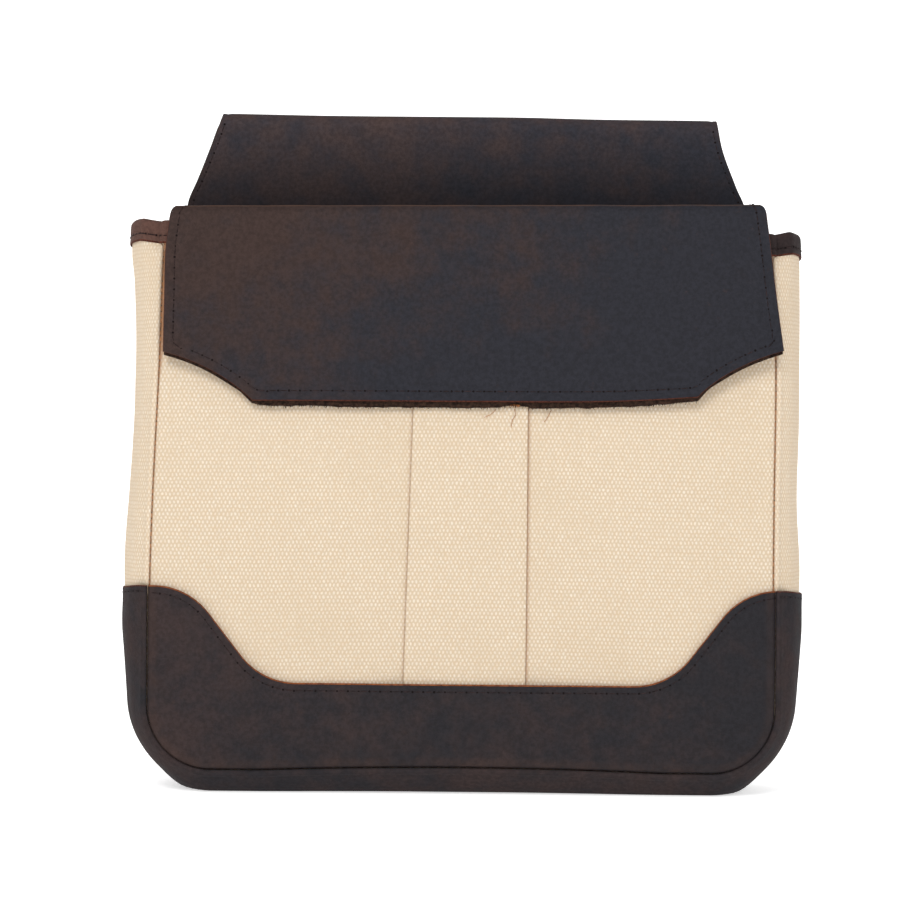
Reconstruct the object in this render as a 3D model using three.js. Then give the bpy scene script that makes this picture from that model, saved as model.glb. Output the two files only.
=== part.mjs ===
// A belt-worn hunting bag: cream canvas body with a pleated front, dark leather base, flap and belt loop.
// Millimetres, +Z up, front towards -Y. The bag stands on the flat of its base at Z = 0.
import * as THREE from "three";

// Wall thicknesses, and the gap left between neighbouring pieces
const CANVAS = 1.4;
const LEATHER = 1.8;
const FLAP_LEATHER = 2.0;
const LINING = 1.2;
const LOOP_LEATHER = 2.2;
const BINDING = 1.2;
const GAP = 0.3;

// The middle of the whole bag from front to back, measured from the middle of the seams
const FOOT_Y = 5.296;

// Body: the seam line of front and back, and how far the gusset swells out beyond it
const DEPTH = 66;
const SEAM_BASE = 10.4;
const BASE_ARCH = 1.6;
const BASE_ARCH_HALF = 80;
const CORNER_RADIUS = 24;
const BELLY = { swell: 4, half: 125, foot: 16, low: 95, high: 150, top: 214 };
const SIDES = [
  { z: 34, left: 124.5, right: 124.7, swellLeft: 9.6, swellRight: 9.8 },
  { z: 85, left: 124.6, right: 124.5, swellLeft: 11.2, swellRight: 11.3 },
  { z: 120, left: 123.7, right: 124.5, swellLeft: 11.2, swellRight: 10.9 },
  { z: 170, left: 121.6, right: 124.7, swellLeft: 10.3, swellRight: 10.8 },
  { z: 205, left: 120.6, right: 124.5, swellLeft: 12.3, swellRight: 10.7 },
  { z: 232, left: 119.6, right: 124.2, swellLeft: 14.8, swellRight: 10.6 },
];
const CORNER_TUCK = 2.6;
const FOOT_SWELL = 12;
const FOOT_FULLNESS = 0.45;
const SIDE_FULLNESS = 0.6;

// Mouth: height of its bound edge at the two sides, and the rise of the front edge between them
const MOUTH_LEFT = 228.5;
const MOUTH_RIGHT = 225.8;
const MOUTH_BOW = 2.6;
const BACK_TOP = 227.4;
const BINDING_LEG = 9;
const BINDING_END = 31.5;
const BINDING_EASE = 0.4;

// Box pleat: the raised band on the front, and how far the cloth is folded back under it
const BAND_LEFT_FOOT = -23.9;
const BAND_LEFT_TOP = -17.9;
const BAND_RIGHT = 25.8;
const UNDERLAP = 14;
const PLEAT_PITCH = CANVAS + GAP;
const PLEAT_SUNK = 0.65;
const PLEAT_PRESS = { foot: SEAM_BASE + 4, low: SEAM_BASE + 44, high: 180, top: 212 };
const BAND_EASE = { from: 8, to: 1 };

// Leather base: heights of the patch edge at the seams and in the middle, and of the guard
const PATCH_TIP = 81.4;
const PATCH_FLAT = 43;
const CURVE_MIDDLE = { left: 94.3, right: 97.7 };
const CURVE_HALF = 28.6;
const CURVE_RADIUS = 28;
const CURVE_SLOPE = 52;
const GUARD_DIP = 1.9;
const PATCH_EASE = { leftFrom: -40, leftTo: -26, rightTo: 30, rightFrom: 44 };

// Flap: its run over the mouth from the free edge to the tail, and its edges along that run
const FLAP_START = { y: -43.2, z: 156.7 };
const FLAP_LEAN = 2.4;
const FLAP_TILT = { slope: 0.0105, full: 90, none: 145 };
const FLAP_BOW = { back: 4, half: 124, end: 70 };
const SCOOP_RISE = 19.6;
const SCOOP_SAG = 2.7;
const FLAP_RUN = [
  { length: SCOOP_RISE, steps: 6 },
  { length: 54.67, steps: 3 },
  { radius: 4, turn: 88.6, steps: 5 },
  { length: 69.1, steps: 4 },
  { radius: 4.5, turn: 89, steps: 4 },
  { length: 27.46, steps: 1 },
];
const FLAP_EDGES = [
  { run: 0, left: 84.9, right: 93.7 },
  { run: SCOOP_RISE, left: 120.8, right: 128.4 },
  { run: 44, left: 119.5, right: 125.0 },
  { run: 60, left: 119.1, right: 122.9 },
  { run: 71, left: 118.2, right: 121.2 },
  { run: 80.5, left: 116.4, right: 119.8 },
  { run: 150, left: 115.4, right: 117.0 },
  { run: 190, left: 115.4, right: 117.0 },
];

// Belt loop: its run from the end sewn over the flap, up, over the fold and down to the back
const LOOP_START = 203;
const LOOP_LEAN = 1.5;
const LOOP_TILT = { slope: -0.006, start: 20, full: 68, still: 88, end: 136 };
const LOOP_RUN = [
  { length: 68.3, steps: 5 },
  { radius: 6.5, turn: 177, steps: 8 },
  { length: 46, steps: 3 },
  { radius: 14, turn: 34, steps: 3 },
  { length: 25.1, steps: 1 },
  { radius: 12, turn: -32.5, steps: 3 },
  { length: 13, steps: 1 },
];
const LOOP_EDGES = [
  { run: 0, left: 117.0, right: 117.8 },
  { run: 36, left: 116.4, right: 117.6 },
  { run: 47, left: 113.0, right: 113.4 },
  { run: 64, left: 106.6, right: 107.6 },
  { run: 78, left: 102.6, right: 106.2 },
  { run: 92, left: 106.6, right: 108.2 },
  { run: 109, left: 113.0, right: 114.2 },
  { run: 120, left: 116.4, right: 117.6 },
  { run: 200, left: 117.0, right: 117.8 },
];

// Facets: steps along curves, and the places of rows and columns
const ARC_STEPS = 6;
const FOOT_STEPS = 10;
const DEPTH_STEPS = 8;
const FOLD_STEPS = 4;
const FLAP_COLUMNS = 12;
const LINING_COLUMNS = 10;
const LOOP_COLUMNS = 8;
const FRONT_LEVELS = [48, 70, 92, 114, 136, 158, 178, 196, 212];
const FRONT_SHARES = [0, 0.3, 0.6, 0.85];
const BESIDE_BAND = [9, 6, 3.5, 1];
const BACK_LEVELS = [85, 120, 170, 205];
const BACK_SHARES = [0, 0.14, 0.3, 0.5, 0.7, 0.86, 1];
const GUSSET_LEVELS = [200, 176, 152, 128, 104];
const GUARD_LEVELS = [PATCH_TIP, 66, 50];
const PATCH_COLUMNS = [-93, -86, -78, -68, -50, -36, -28, -24, -12, 0, 12, 24, 30, 38, 52, 68, 78, 86, 93];
const PATCH_SHARES = [0, 0.25, 0.5, 0.75, 1];
const MOUTH_COLUMNS = { left: [-108, -80, -50], middle: 4, right: [55, 85, 110] };
const BESIDE_STACK = [10, 7, 4, 1];

const canvas = new THREE.MeshStandardMaterial({ color: 0xebd7ba, roughness: 0.9, metalness: 0 });
const leather = new THREE.MeshStandardMaterial({ color: 0x3b3435, roughness: 0.55, metalness: 0 });
const suede = new THREE.MeshStandardMaterial({ color: 0x6b4630, roughness: 0.95, metalness: 0 });

const lerp = THREE.MathUtils.lerp;
const rad = THREE.MathUtils.degToRad;
const rise = (from, to, at) => {
  const share = THREE.MathUtils.clamp((at - from) / (to - from), 0, 1);
  return share * share * (3 - 2 * share);
};

// A column of a table, read at a place between its rows along a smooth curve
function read(table, key, at, column) {
  const last = table.length - 1;
  const place = THREE.MathUtils.clamp(at, table[0][key], table[last][key]);
  let i = 0;
  while (i < last - 1 && place > table[i + 1][key]) i += 1;
  const slope = (k) => {
    const a = table[Math.max(k - 1, 0)];
    const b = table[Math.min(k + 1, last)];
    return (b[column] - a[column]) / (b[key] - a[key]);
  };
  const span = table[i + 1][key] - table[i][key];
  const s = (place - table[i][key]) / span;
  const start = (1 + 2 * s) * (1 - s) ** 2 * table[i][column] + s * (1 - s) ** 2 * span * slope(i);
  const end = s * s * (3 - 2 * s) * table[i + 1][column] + s * s * (s - 1) * span * slope(i + 1);
  return start + end;
}

// A closed wall from rows of point pairs, one point on each of its faces
function wall(name, rows, material) {
  const count = rows[0].length;
  const points = rows.flatMap((row) => row.flatMap(([face, back]) => [face, back]));
  const at = (i, j, side) => 2 * (i * count + j) + side;
  const faces = [];
  const quad = (a, b, c, d) => faces.push([a, b, c], [a, c, d]);
  for (let i = 0; i + 1 < rows.length; i += 1) {
    for (let j = 0; j + 1 < count; j += 1) {
      quad(at(i, j, 0), at(i + 1, j, 0), at(i + 1, j + 1, 0), at(i, j + 1, 0));
      quad(at(i, j, 1), at(i, j + 1, 1), at(i + 1, j + 1, 1), at(i + 1, j, 1));
    }
    quad(at(i, 0, 0), at(i, 0, 1), at(i + 1, 0, 1), at(i + 1, 0, 0));
    quad(at(i, count - 1, 0), at(i + 1, count - 1, 0), at(i + 1, count - 1, 1), at(i, count - 1, 1));
  }
  const end = rows.length - 1;
  for (let j = 0; j + 1 < count; j += 1) {
    quad(at(0, j, 0), at(0, j + 1, 0), at(0, j + 1, 1), at(0, j, 1));
    quad(at(end, j, 0), at(end, j, 1), at(end, j + 1, 1), at(end, j + 1, 0));
  }
  const volume = faces.reduce((sum, [a, b, c]) => {
    return sum + points[a].dot(new THREE.Vector3().crossVectors(points[b], points[c]));
  }, 0);
  const outward = volume > 0 ? faces : faces.map(([a, b, c]) => [a, c, b]);
  const shape = new THREE.BufferGeometry();
  const shifted = points.flatMap((p) => [p.x, p.y - FOOT_Y, p.z]);
  shape.setAttribute("position", new THREE.Float32BufferAttribute(shifted, 3));
  shape.setIndex(outward.flat());
  shape.computeVertexNormals();
  const mesh = new THREE.Mesh(shape, material);
  mesh.name = name;
  return mesh;
}

// Body outline: the seam's half widths, foot height and mouth height
const FRONT_Y = -DEPTH / 2;
const CORNER_TOP = SEAM_BASE + CORNER_RADIUS;
const footZ = (x) => SEAM_BASE + BASE_ARCH * Math.max(0, 1 - (x / BASE_ARCH_HALF) ** 2);
const sideZ = (z) => Math.max(z, SIDES[0].z);
const arcAngles = Array.from({ length: ARC_STEPS + 1 }, (_, k) => rad(90 * k / ARC_STEPS));
const cornerLevels = arcAngles.map((angle) => SEAM_BASE + CORNER_RADIUS * (1 - Math.cos(angle)));

function halfWidth(side, z) {
  const straight = read(SIDES, "z", sideZ(z), side);
  const below = Math.max(0, CORNER_TOP - z);
  return straight - CORNER_RADIUS + Math.sqrt(CORNER_RADIUS ** 2 - below ** 2);
}

function mouthZ(x) {
  const top = SIDES[SIDES.length - 1];
  const share = (x + top.left) / (top.left + top.right);
  const bow = Math.max(0, 1 - (2 * share - 1) ** 2);
  return lerp(MOUTH_LEFT, MOUTH_RIGHT, THREE.MathUtils.clamp(share, 0, 1)) + MOUTH_BOW * bow;
}

// Front: the middle of its wall, swelling forward between foot and mouth
function frontY(x, z) {
  const across = Math.max(0, 1 - (x / BELLY.half) ** 2);
  return FRONT_Y - BELLY.swell * across * rise(BELLY.foot, BELLY.low, z) * rise(BELLY.top, BELLY.high, z);
}

// The pleat is pressed flush at the foot seam and the mouth, and stands a little forward between them
const upShare = (z) => (z - SEAM_BASE) / (BACK_TOP - SEAM_BASE);
const bandLeft = (z) => lerp(BAND_LEFT_FOOT, BAND_LEFT_TOP, upShare(z));
const pressed = (z) => {
  const low = rise(PLEAT_PRESS.low, PLEAT_PRESS.foot, z);
  return Math.max(PLEAT_SUNK, low, rise(PLEAT_PRESS.high, PLEAT_PRESS.top, z));
};
const bandShare = (x, z) => {
  const fromLeft = rise(bandLeft(z) - BAND_EASE.from, bandLeft(z) - BAND_EASE.to, x);
  return fromLeft * rise(BAND_RIGHT + BAND_EASE.from, BAND_RIGHT + BAND_EASE.to, x);
};
const pressIn = (x, z) => 2 * PLEAT_PITCH * pressed(z) * bandShare(x, z);

// The cloth's way across the front in one level: place, lift forward, and the direction of its face
function clothAcross(z) {
  const left = bandLeft(z);
  const bend = PLEAT_PITCH / 2;
  const fold = Array.from({ length: FOLD_STEPS + 1 }, (_, k) => Math.PI * k / FOLD_STEPS);
  const inner = left + UNDERLAP;
  const outer = left + bend + CANVAS / 2;
  const start = -halfWidth("left", z);
  const flat = (x) => ({ x, lift: 0, nx: 0, nl: 1 });
  const half = FRONT_SHARES.map((share) => flat(lerp(start, left - BESIDE_BAND[0], share)));
  BESIDE_BAND.forEach((step) => half.push(flat(left - step)));
  fold.forEach((a) => half.push({
    x: inner + bend * Math.sin(a), lift: bend * (1 - Math.cos(a)), nx: -Math.sin(a), nl: Math.cos(a),
  }));
  fold.forEach((a) => half.push({
    x: outer - bend * Math.sin(a), lift: bend * (3 - Math.cos(a)), nx: -Math.sin(a), nl: -Math.cos(a),
  }));
  const middle = (left + BAND_RIGHT) / 2;
  const stretch = (halfWidth("right", z) - BAND_RIGHT) / (halfWidth("left", z) + left);
  const mirrored = half.map((p) => {
    const beside = p.x < left ? BAND_RIGHT + (left - p.x) * stretch : left + BAND_RIGHT - p.x;
    return { x: beside, lift: p.lift, nx: -p.nx, nl: p.nl };
  });
  return [...half, { x: middle, lift: 2 * PLEAT_PITCH, nx: 0, nl: 1 }, ...mirrored.reverse()];
}

function frontPanel() {
  const levels = [...cornerLevels, ...FRONT_LEVELS, BACK_TOP];
  const rows = levels.map((level) => clothAcross(level).map((p) => [1, -1].map((side) => {
    const x = p.x + side * p.nx * CANVAS / 2;
    const topShift = mouthZ(x) - BINDING - GAP - BACK_TOP;
    const footShift = footZ(x) - SEAM_BASE;
    const z = level + (1 - upShare(level)) ** 2 * footShift + upShare(level) ** 2 * topShift;
    const y = frontY(x, level) - p.lift - side * p.nl * CANVAS / 2 + pressIn(x, level);
    return new THREE.Vector3(x, y, z);
  })));
  return wall("front_panel", rows, canvas);
}

function backPanel() {
  const levels = [...cornerLevels, ...BACK_LEVELS, BACK_TOP];
  const rows = levels.map((level) => BACK_SHARES.map((share) => [1, -1].map((side) => {
    const x = lerp(-halfWidth("left", level), halfWidth("right", level), share);
    const z = level + (1 - upShare(level)) ** 2 * (footZ(x) - SEAM_BASE);
    return new THREE.Vector3(x, -FRONT_Y + side * CANVAS / 2, z);
  })));
  return wall("back_panel", rows, canvas);
}

// The seam line from the top of the left side round the foot to the top of the right side
function seamLine(leftLevels, rightLevels) {
  const line = [];
  const side = (sign, z) => {
    const name = sign < 0 ? "left" : "right";
    const swell = read(SIDES, "z", sideZ(z), sign < 0 ? "swellLeft" : "swellRight");
    return { x: sign * halfWidth(name, z), z, nx: sign, nz: 0, swell, fullness: SIDE_FULLNESS };
  };
  const corner = (sign, angle) => {
    const name = sign < 0 ? "left" : "right";
    const share = angle / rad(90);
    const sideSwell = sign < 0 ? SIDES[0].swellLeft : SIDES[0].swellRight;
    const swell = lerp(sideSwell, FOOT_SWELL, share ** 3) - CORNER_TUCK * Math.sin(2 * angle);
    const middle = sign * (SIDES[0][name] - CORNER_RADIUS);
    const nx = sign * Math.cos(angle);
    const nz = -Math.sin(angle);
    const fullness = lerp(SIDE_FULLNESS, FOOT_FULLNESS, share ** 2);
    return { x: middle + CORNER_RADIUS * nx, z: CORNER_TOP + CORNER_RADIUS * nz, nx, nz, swell, fullness };
  };
  leftLevels.forEach((z) => line.push(side(-1, z)));
  arcAngles.forEach((angle) => line.push(corner(-1, angle)));
  const from = line[line.length - 1];
  const to = corner(1, rad(90));
  for (let k = 1; k < FOOT_STEPS; k += 1) {
    const x = lerp(from.x, to.x, k / FOOT_STEPS);
    line.push({ x, z: footZ(x), nx: 0, nz: -1, swell: FOOT_SWELL, fullness: FOOT_FULLNESS });
  }
  arcAngles.toReversed().forEach((angle) => line.push(corner(1, angle)));
  rightLevels.toReversed().forEach((z) => line.push(side(1, z)));
  return line;
}

const swellAt = (y) => Math.sin(Math.PI * THREE.MathUtils.clamp((y - FRONT_Y) / DEPTH, 0, 1));
const boundDepths = Array.from({ length: DEPTH_STEPS }, (_, j) => FRONT_Y + DEPTH * j / DEPTH_STEPS);
boundDepths.push(BINDING_END);

// A strip round the seam: from a front edge to the back, a distance outside the seam line
function strip({ name, line, frontEdge, inset, thickness, lowest, dip, material }) {
  const depths = [frontEdge, ...boundDepths, -FRONT_Y, -FRONT_Y + CANVAS / 2];
  const rows = line.map((p, i) => {
    const atEnd = i === 0 || i === line.length - 1;
    return depths.map((y) => {
      const out = inset + p.swell * swellAt(y) ** p.fullness;
      const drop = atEnd ? dip * swellAt(y) : 0;
      return [1, 0].map((side) => {
        const n = out + side * thickness;
        const floor = lowest + (1 - side) * thickness;
        return new THREE.Vector3(p.x + p.nx * n, y, Math.max(floor, p.z + p.nz * n - drop));
      });
    });
  });
  return wall(name, rows, material);
}

// The S-curve of the patch's top edge: an arc out of the seam, a slope, and an arc into the level middle
function patchTop(x) {
  const middle = x < 0 ? CURVE_MIDDLE.left : CURVE_MIDDLE.right;
  const along = THREE.MathUtils.clamp(Math.abs(x) - middle, -CURVE_HALF, CURVE_HALF);
  const arc = (reach) => CURVE_RADIUS - Math.sqrt(CURVE_RADIUS ** 2 - reach ** 2);
  const half = (PATCH_TIP - PATCH_FLAT) / 2;
  const slopeStart = CURVE_HALF - CURVE_RADIUS * Math.sin(rad(CURVE_SLOPE));
  const height = Math.abs(along) < slopeStart
    ? (half - arc(CURVE_HALF - slopeStart)) * Math.abs(along) / slopeStart
    : half - arc(CURVE_HALF - Math.abs(along));
  return (PATCH_TIP + PATCH_FLAT) / 2 + Math.sign(along) * height;
}

function basePatch() {
  const beyond = GAP + CANVAS;
  const edge = { left: SIDES[0].left + beyond, right: SIDES[0].right + beyond };
  const radius = CORNER_RADIUS + beyond;
  const foot = (x) => {
    const reach = Math.abs(x) - ((x < 0 ? edge.left : edge.right) - radius);
    const corner = radius - Math.sqrt(Math.max(0, radius ** 2 - Math.max(0, reach) ** 2));
    return footZ(x) - beyond + corner;
  };
  const fromEdge = arcAngles.map((angle) => radius * (1 - Math.cos(angle)));
  const columns = [
    ...fromEdge.map((step) => -edge.left + step),
    ...PATCH_COLUMNS,
    ...fromEdge.toReversed().map((step) => edge.right - step),
  ];
  const overPleat = (x) => {
    const fromLeft = rise(PATCH_EASE.leftFrom, PATCH_EASE.leftTo, x);
    return fromLeft * rise(PATCH_EASE.rightFrom, PATCH_EASE.rightTo, x);
  };
  const rows = columns.map((x) => PATCH_SHARES.map((share) => {
    const z = lerp(foot(x), patchTop(x), share);
    const stand = 2 * PLEAT_PITCH * (1 - pressed(z)) * overPleat(x);
    const inner = frontY(x, z) - CANVAS / 2 - GAP - stand;
    return [new THREE.Vector3(x, inner - LEATHER, z), new THREE.Vector3(x, inner, z)];
  }));
  return wall("base_patch", rows, leather);
}

// The walls under the binding in plan at a depth below the mouth's edge, from the back of the left gusset
// round the front to the right one
function mouthLine(below) {
  const line = [];
  const gussetPoint = (sign, y) => {
    const top = sign < 0 ? MOUTH_LEFT : MOUTH_RIGHT;
    const swell = read(SIDES, "z", top - below, sign < 0 ? "swellLeft" : "swellRight");
    const half = read(SIDES, "z", top - below, sign < 0 ? "left" : "right") + GAP + CANVAS / 2;
    const x = sign * (half + swell * swellAt(y) ** SIDE_FULLNESS);
    return { x, y, inside: CANVAS / 2, z: top - below };
  };
  boundDepths.toReversed().forEach((y) => line.push(gussetPoint(-1, y)));
  const left = bandLeft(BACK_TOP);
  const front = [
    ...MOUTH_COLUMNS.left,
    ...BESIDE_STACK.map((step) => left - step),
    MOUTH_COLUMNS.middle,
    ...BESIDE_STACK.toReversed().map((step) => BAND_RIGHT + step),
    ...MOUTH_COLUMNS.right,
  ];
  front.forEach((x) => {
    const stack = CANVAS / 2 + 2 * PLEAT_PITCH * bandShare(x, BACK_TOP);
    line.push({ x, y: FRONT_Y, inside: stack, z: mouthZ(x) - below });
  });
  boundDepths.forEach((y) => line.push(gussetPoint(1, y)));
  const across = (a, b) => new THREE.Vector2(b.y - a.y, a.x - b.x).normalize();
  return line.map((p, i) => {
    const before = across(line[Math.max(i - 1, 0)], line[Math.max(i, 1)]);
    const after = across(line[Math.min(i, line.length - 2)], line[Math.min(i + 1, line.length - 1)]);
    const out = before.clone().add(after).normalize();
    out.divideScalar(out.dot(before));
    const at = (n) => new THREE.Vector3(p.x + out.x * n, p.y + out.y * n, p.z);
    return { at, slotOut: CANVAS / 2 + GAP, slotIn: -p.inside - GAP };
  });
}

function mouthBinding() {
  const [top, shoulder, foot] = [0, BINDING, BINDING_LEG].map(mouthLine);
  const rows = top.map((t, i) => {
    const s = shoulder[i];
    const f = foot[i];
    return [
      [f.at(f.slotOut + BINDING), f.at(f.slotOut)],
      [s.at(s.slotOut + BINDING), s.at(s.slotOut)],
      [t.at(t.slotOut + BINDING_EASE), s.at(s.slotOut - BINDING_EASE)],
      [t.at(t.slotIn - BINDING_EASE), s.at(s.slotIn + BINDING_EASE)],
      [s.at(s.slotIn - BINDING), s.at(s.slotIn)],
      [f.at(f.slotIn - BINDING), f.at(f.slotIn)],
    ];
  });
  return wall("mouth_binding", rows, leather);
}

// A way through the side view, made of straight runs and bends, followed on its outer face
function sideWay(start, headingDeg, runs) {
  const inward = (h) => new THREE.Vector2(Math.cos(h), -Math.sin(h));
  const onward = (h) => new THREE.Vector2(Math.sin(h), Math.cos(h));
  let point = new THREE.Vector2(start.y, start.z);
  let heading = rad(headingDeg);
  let from = 0;
  const parts = runs.map((run) => {
    const part = { run, point, heading, from };
    const sign = Math.sign(run.turn ?? 1);
    part.length = run.length ?? run.radius * rad(Math.abs(run.turn));
    part.at = (s) => {
      const first = part.point.clone();
      if (!run.radius) return { p: first.addScaledVector(onward(part.heading), s), h: part.heading };
      const h = part.heading + sign * s / run.radius;
      const centre = first.addScaledVector(inward(part.heading), sign * run.radius);
      return { p: centre.addScaledVector(inward(h), -sign * run.radius), h };
    };
    const end = part.at(part.length);
    point = end.p;
    heading = end.h;
    from += part.length;
    return part;
  });
  const stations = [0];
  parts.forEach((part) => {
    const { steps } = part.run;
    for (let k = 1; k <= steps; k += 1) stations.push(part.from + part.length * k / steps);
  });
  const at = (s) => {
    const part = parts.findLast((one) => s >= one.from) ?? parts[0];
    const { p, h } = part.at(s - part.from);
    const inside = inward(h);
    return { y: p.x, z: p.y, inY: inside.x, inZ: inside.y };
  };
  return { stations, at };
}

// A sheet along such a way, between its left and right edges, a depth inside the outer face
function draped({ name, way, edges, depth, thickness, columns, shift, material }) {
  const rows = way.stations.map((s) => Array.from({ length: columns + 1 }, (_, j) => {
    const x = lerp(-edges("left", s), edges("right", s), j / columns);
    const q = way.at(s);
    const move = shift(x, s);
    return [depth, depth + thickness].map((d) => {
      return new THREE.Vector3(x, q.y + q.inY * d + move.y, q.z + q.inZ * d + move.z);
    });
  }));
  return wall(name, rows, material);
}

// The flap's scooped corners are arcs, and above them its edges follow the table
function flapEdges(side, s) {
  if (s > SCOOP_RISE) return read(FLAP_EDGES.slice(1), "run", s, side);
  const corner = new THREE.Vector2(FLAP_EDGES[0][side], 0);
  const tip = new THREE.Vector2(FLAP_EDGES[1][side], SCOOP_RISE);
  const chord = tip.clone().sub(corner);
  const radius = chord.lengthSq() / (8 * SCOOP_SAG) + SCOOP_SAG / 2;
  const away = new THREE.Vector2(chord.y, -chord.x).normalize().multiplyScalar(radius - SCOOP_SAG);
  const centre = corner.add(tip).multiplyScalar(0.5).add(away);
  return centre.x - Math.sqrt(radius ** 2 - (s - centre.y) ** 2);
}

const flapWay = sideWay(FLAP_START, FLAP_LEAN, FLAP_RUN);
const flapShift = (x, s) => ({
  y: FLAP_BOW.back * (x / FLAP_BOW.half) ** 2 * rise(FLAP_BOW.end, 0, s),
  z: FLAP_TILT.slope * x * rise(FLAP_TILT.none, FLAP_TILT.full, s),
});
const loopStart = { y: -FRONT_Y + CANVAS / 2 + GAP + LINING + GAP + FLAP_LEATHER + GAP, z: LOOP_START };
const loopWay = sideWay(loopStart, LOOP_LEAN, LOOP_RUN);
const loopEdges = (side, s) => read(LOOP_EDGES, "run", s, side);
const loopShift = (x, s) => {
  const tilted = rise(LOOP_TILT.start, LOOP_TILT.full, s) * rise(LOOP_TILT.end, LOOP_TILT.still, s);
  return { y: 0, z: LOOP_TILT.slope * x * tilted };
};

const boundLevels = (mouth) => [mouth - BINDING - GAP, mouth - BINDING_LEG];
const gussetLevels = (mouth) => [...boundLevels(mouth), ...GUSSET_LEVELS, ...GUARD_LEVELS];
const gusset = strip({
  name: "gusset",
  line: seamLine(gussetLevels(MOUTH_LEFT), gussetLevels(MOUTH_RIGHT)),
  frontEdge: FRONT_Y - CANVAS / 2,
  inset: GAP,
  thickness: CANVAS,
  lowest: LEATHER + GAP,
  dip: 0,
  material: canvas,
});
const gussetGuard = strip({
  name: "gusset_guard",
  line: seamLine(GUARD_LEVELS, GUARD_LEVELS),
  frontEdge: FRONT_Y - CANVAS / 2 - GAP - LEATHER,
  inset: GAP + CANVAS + GAP,
  thickness: LEATHER,
  lowest: 0,
  dip: GUARD_DIP,
  material: leather,
});
const flap = draped({
  name: "flap",
  way: flapWay,
  edges: flapEdges,
  depth: 0,
  thickness: FLAP_LEATHER,
  columns: FLAP_COLUMNS,
  shift: flapShift,
  material: leather,
});
const flapLining = draped({
  name: "flap_lining",
  way: flapWay,
  edges: flapEdges,
  depth: FLAP_LEATHER + GAP,
  thickness: LINING,
  columns: LINING_COLUMNS,
  shift: flapShift,
  material: suede,
});
const beltLoop = draped({
  name: "belt_loop",
  way: loopWay,
  edges: loopEdges,
  depth: 0,
  thickness: LOOP_LEATHER,
  columns: LOOP_COLUMNS,
  shift: loopShift,
  material: leather,
});

const bag = new THREE.Group();
bag.name = "hunting_bag";
bag.add(
  frontPanel(),
  basePatch(),
  backPanel(),
  gusset,
  gussetGuard,
  mouthBinding(),
  flap,
  flapLining,
  beltLoop,
);

export default bag;
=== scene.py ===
# A belt-worn hunting bag in cream canvas and dark oiled leather, dressed over its frame. Metres, +Z up.
import math

import bmesh
import bpy
from mathutils import Matrix, Vector, noise


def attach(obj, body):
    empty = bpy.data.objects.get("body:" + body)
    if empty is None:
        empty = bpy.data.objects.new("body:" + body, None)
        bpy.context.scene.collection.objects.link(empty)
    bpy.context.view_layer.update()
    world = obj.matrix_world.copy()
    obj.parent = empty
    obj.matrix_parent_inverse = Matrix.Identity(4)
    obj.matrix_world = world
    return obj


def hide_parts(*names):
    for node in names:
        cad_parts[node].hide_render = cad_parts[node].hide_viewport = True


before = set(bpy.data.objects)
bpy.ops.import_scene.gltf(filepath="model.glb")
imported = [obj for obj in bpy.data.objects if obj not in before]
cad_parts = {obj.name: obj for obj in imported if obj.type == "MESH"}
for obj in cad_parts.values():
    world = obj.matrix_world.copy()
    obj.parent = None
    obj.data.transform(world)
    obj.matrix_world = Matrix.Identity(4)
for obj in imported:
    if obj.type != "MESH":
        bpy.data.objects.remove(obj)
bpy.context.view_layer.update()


def table(columns, *rows):
    """Rows of numbers under named columns."""
    return [dict(zip(columns.split(), row)) for row in rows]


def straight(length, steps):
    return dict(length=length, radius=0.0, turn=0.0, steps=steps)


def bend(radius, degrees, steps):
    turn = math.radians(degrees)
    return dict(length=radius * abs(turn), radius=radius, turn=turn, steps=steps)


# Camera: level with the bag's middle, square to its front, with a slight roll
CAMERA_PLACE = (-0.0052, -1.3383, 0.1381)
CAMERA_ROLL = math.radians(0.55)
CAMERA_LENS_MM = 130.0
SENSOR_MM = 36.0

# Stage: white paper that curves up behind the bag, two soft lights and a white room
FLOOR_GLOW = 0.57
PAPER = dict(half=14.0, bend_start=1.6, bend_radius=0.8, top=3.5, bend_steps=12)
LIGHT_AIM = (0.0, 0.0, 0.12)
ROOM_LIGHT = 0.55

# How the soft foot settles on the floor
SETTLE = dict(lift=0.0011, reach=0.008)

# Wall thicknesses and gaps, and how far the whole bag's middle lies behind the middle of its seams
CANVAS = 0.0014
LEATHER = 0.0018
FLAP_LEATHER = 0.0020
LINING = 0.0012
LOOP_LEATHER = 0.0022
BINDING = 0.0007
GAP = 0.0003
FOOT_Y = 0.005296

# Body: the seam line of front and back, and how far the gusset swells out beyond it
DEPTH = 0.066
FRONT_Y = -DEPTH / 2
FRONT_FACE = FRONT_Y - CANVAS / 2
BACK_FACE = -FRONT_Y + CANVAS / 2
SEAM_BASE = 0.0104
BASE_ARCH = 0.0016
BASE_ARCH_HALF = 0.080
CORNER_RADIUS = 0.024
CORNER_TOP = SEAM_BASE + CORNER_RADIUS
BELLY = dict(swell=0.004, half=0.125, foot=0.016, low=0.095, high=0.150, top=0.214)
SIDES = table(
    "z left right swell_left swell_right",
    (0.034, 0.1245, 0.1247, 0.0077, 0.0086),
    (0.085, 0.1246, 0.1245, 0.0118, 0.0120),
    (0.120, 0.1237, 0.1245, 0.0109, 0.0106),
    (0.170, 0.1216, 0.1247, 0.0104, 0.0110),
    (0.205, 0.1206, 0.1232, 0.0128, 0.0122),
    (0.216, 0.1202, 0.1226, 0.0143, 0.0128),
    (0.232, 0.1196, 0.1222, 0.0142, 0.0122),
)
CORNER_TUCK = 0.0011
FOOT_SWELL = 0.012
FOOT_FULLNESS = 0.45
SIDE_FULLNESS = 0.6
FLOOR_EASE = 0.0008

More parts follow.
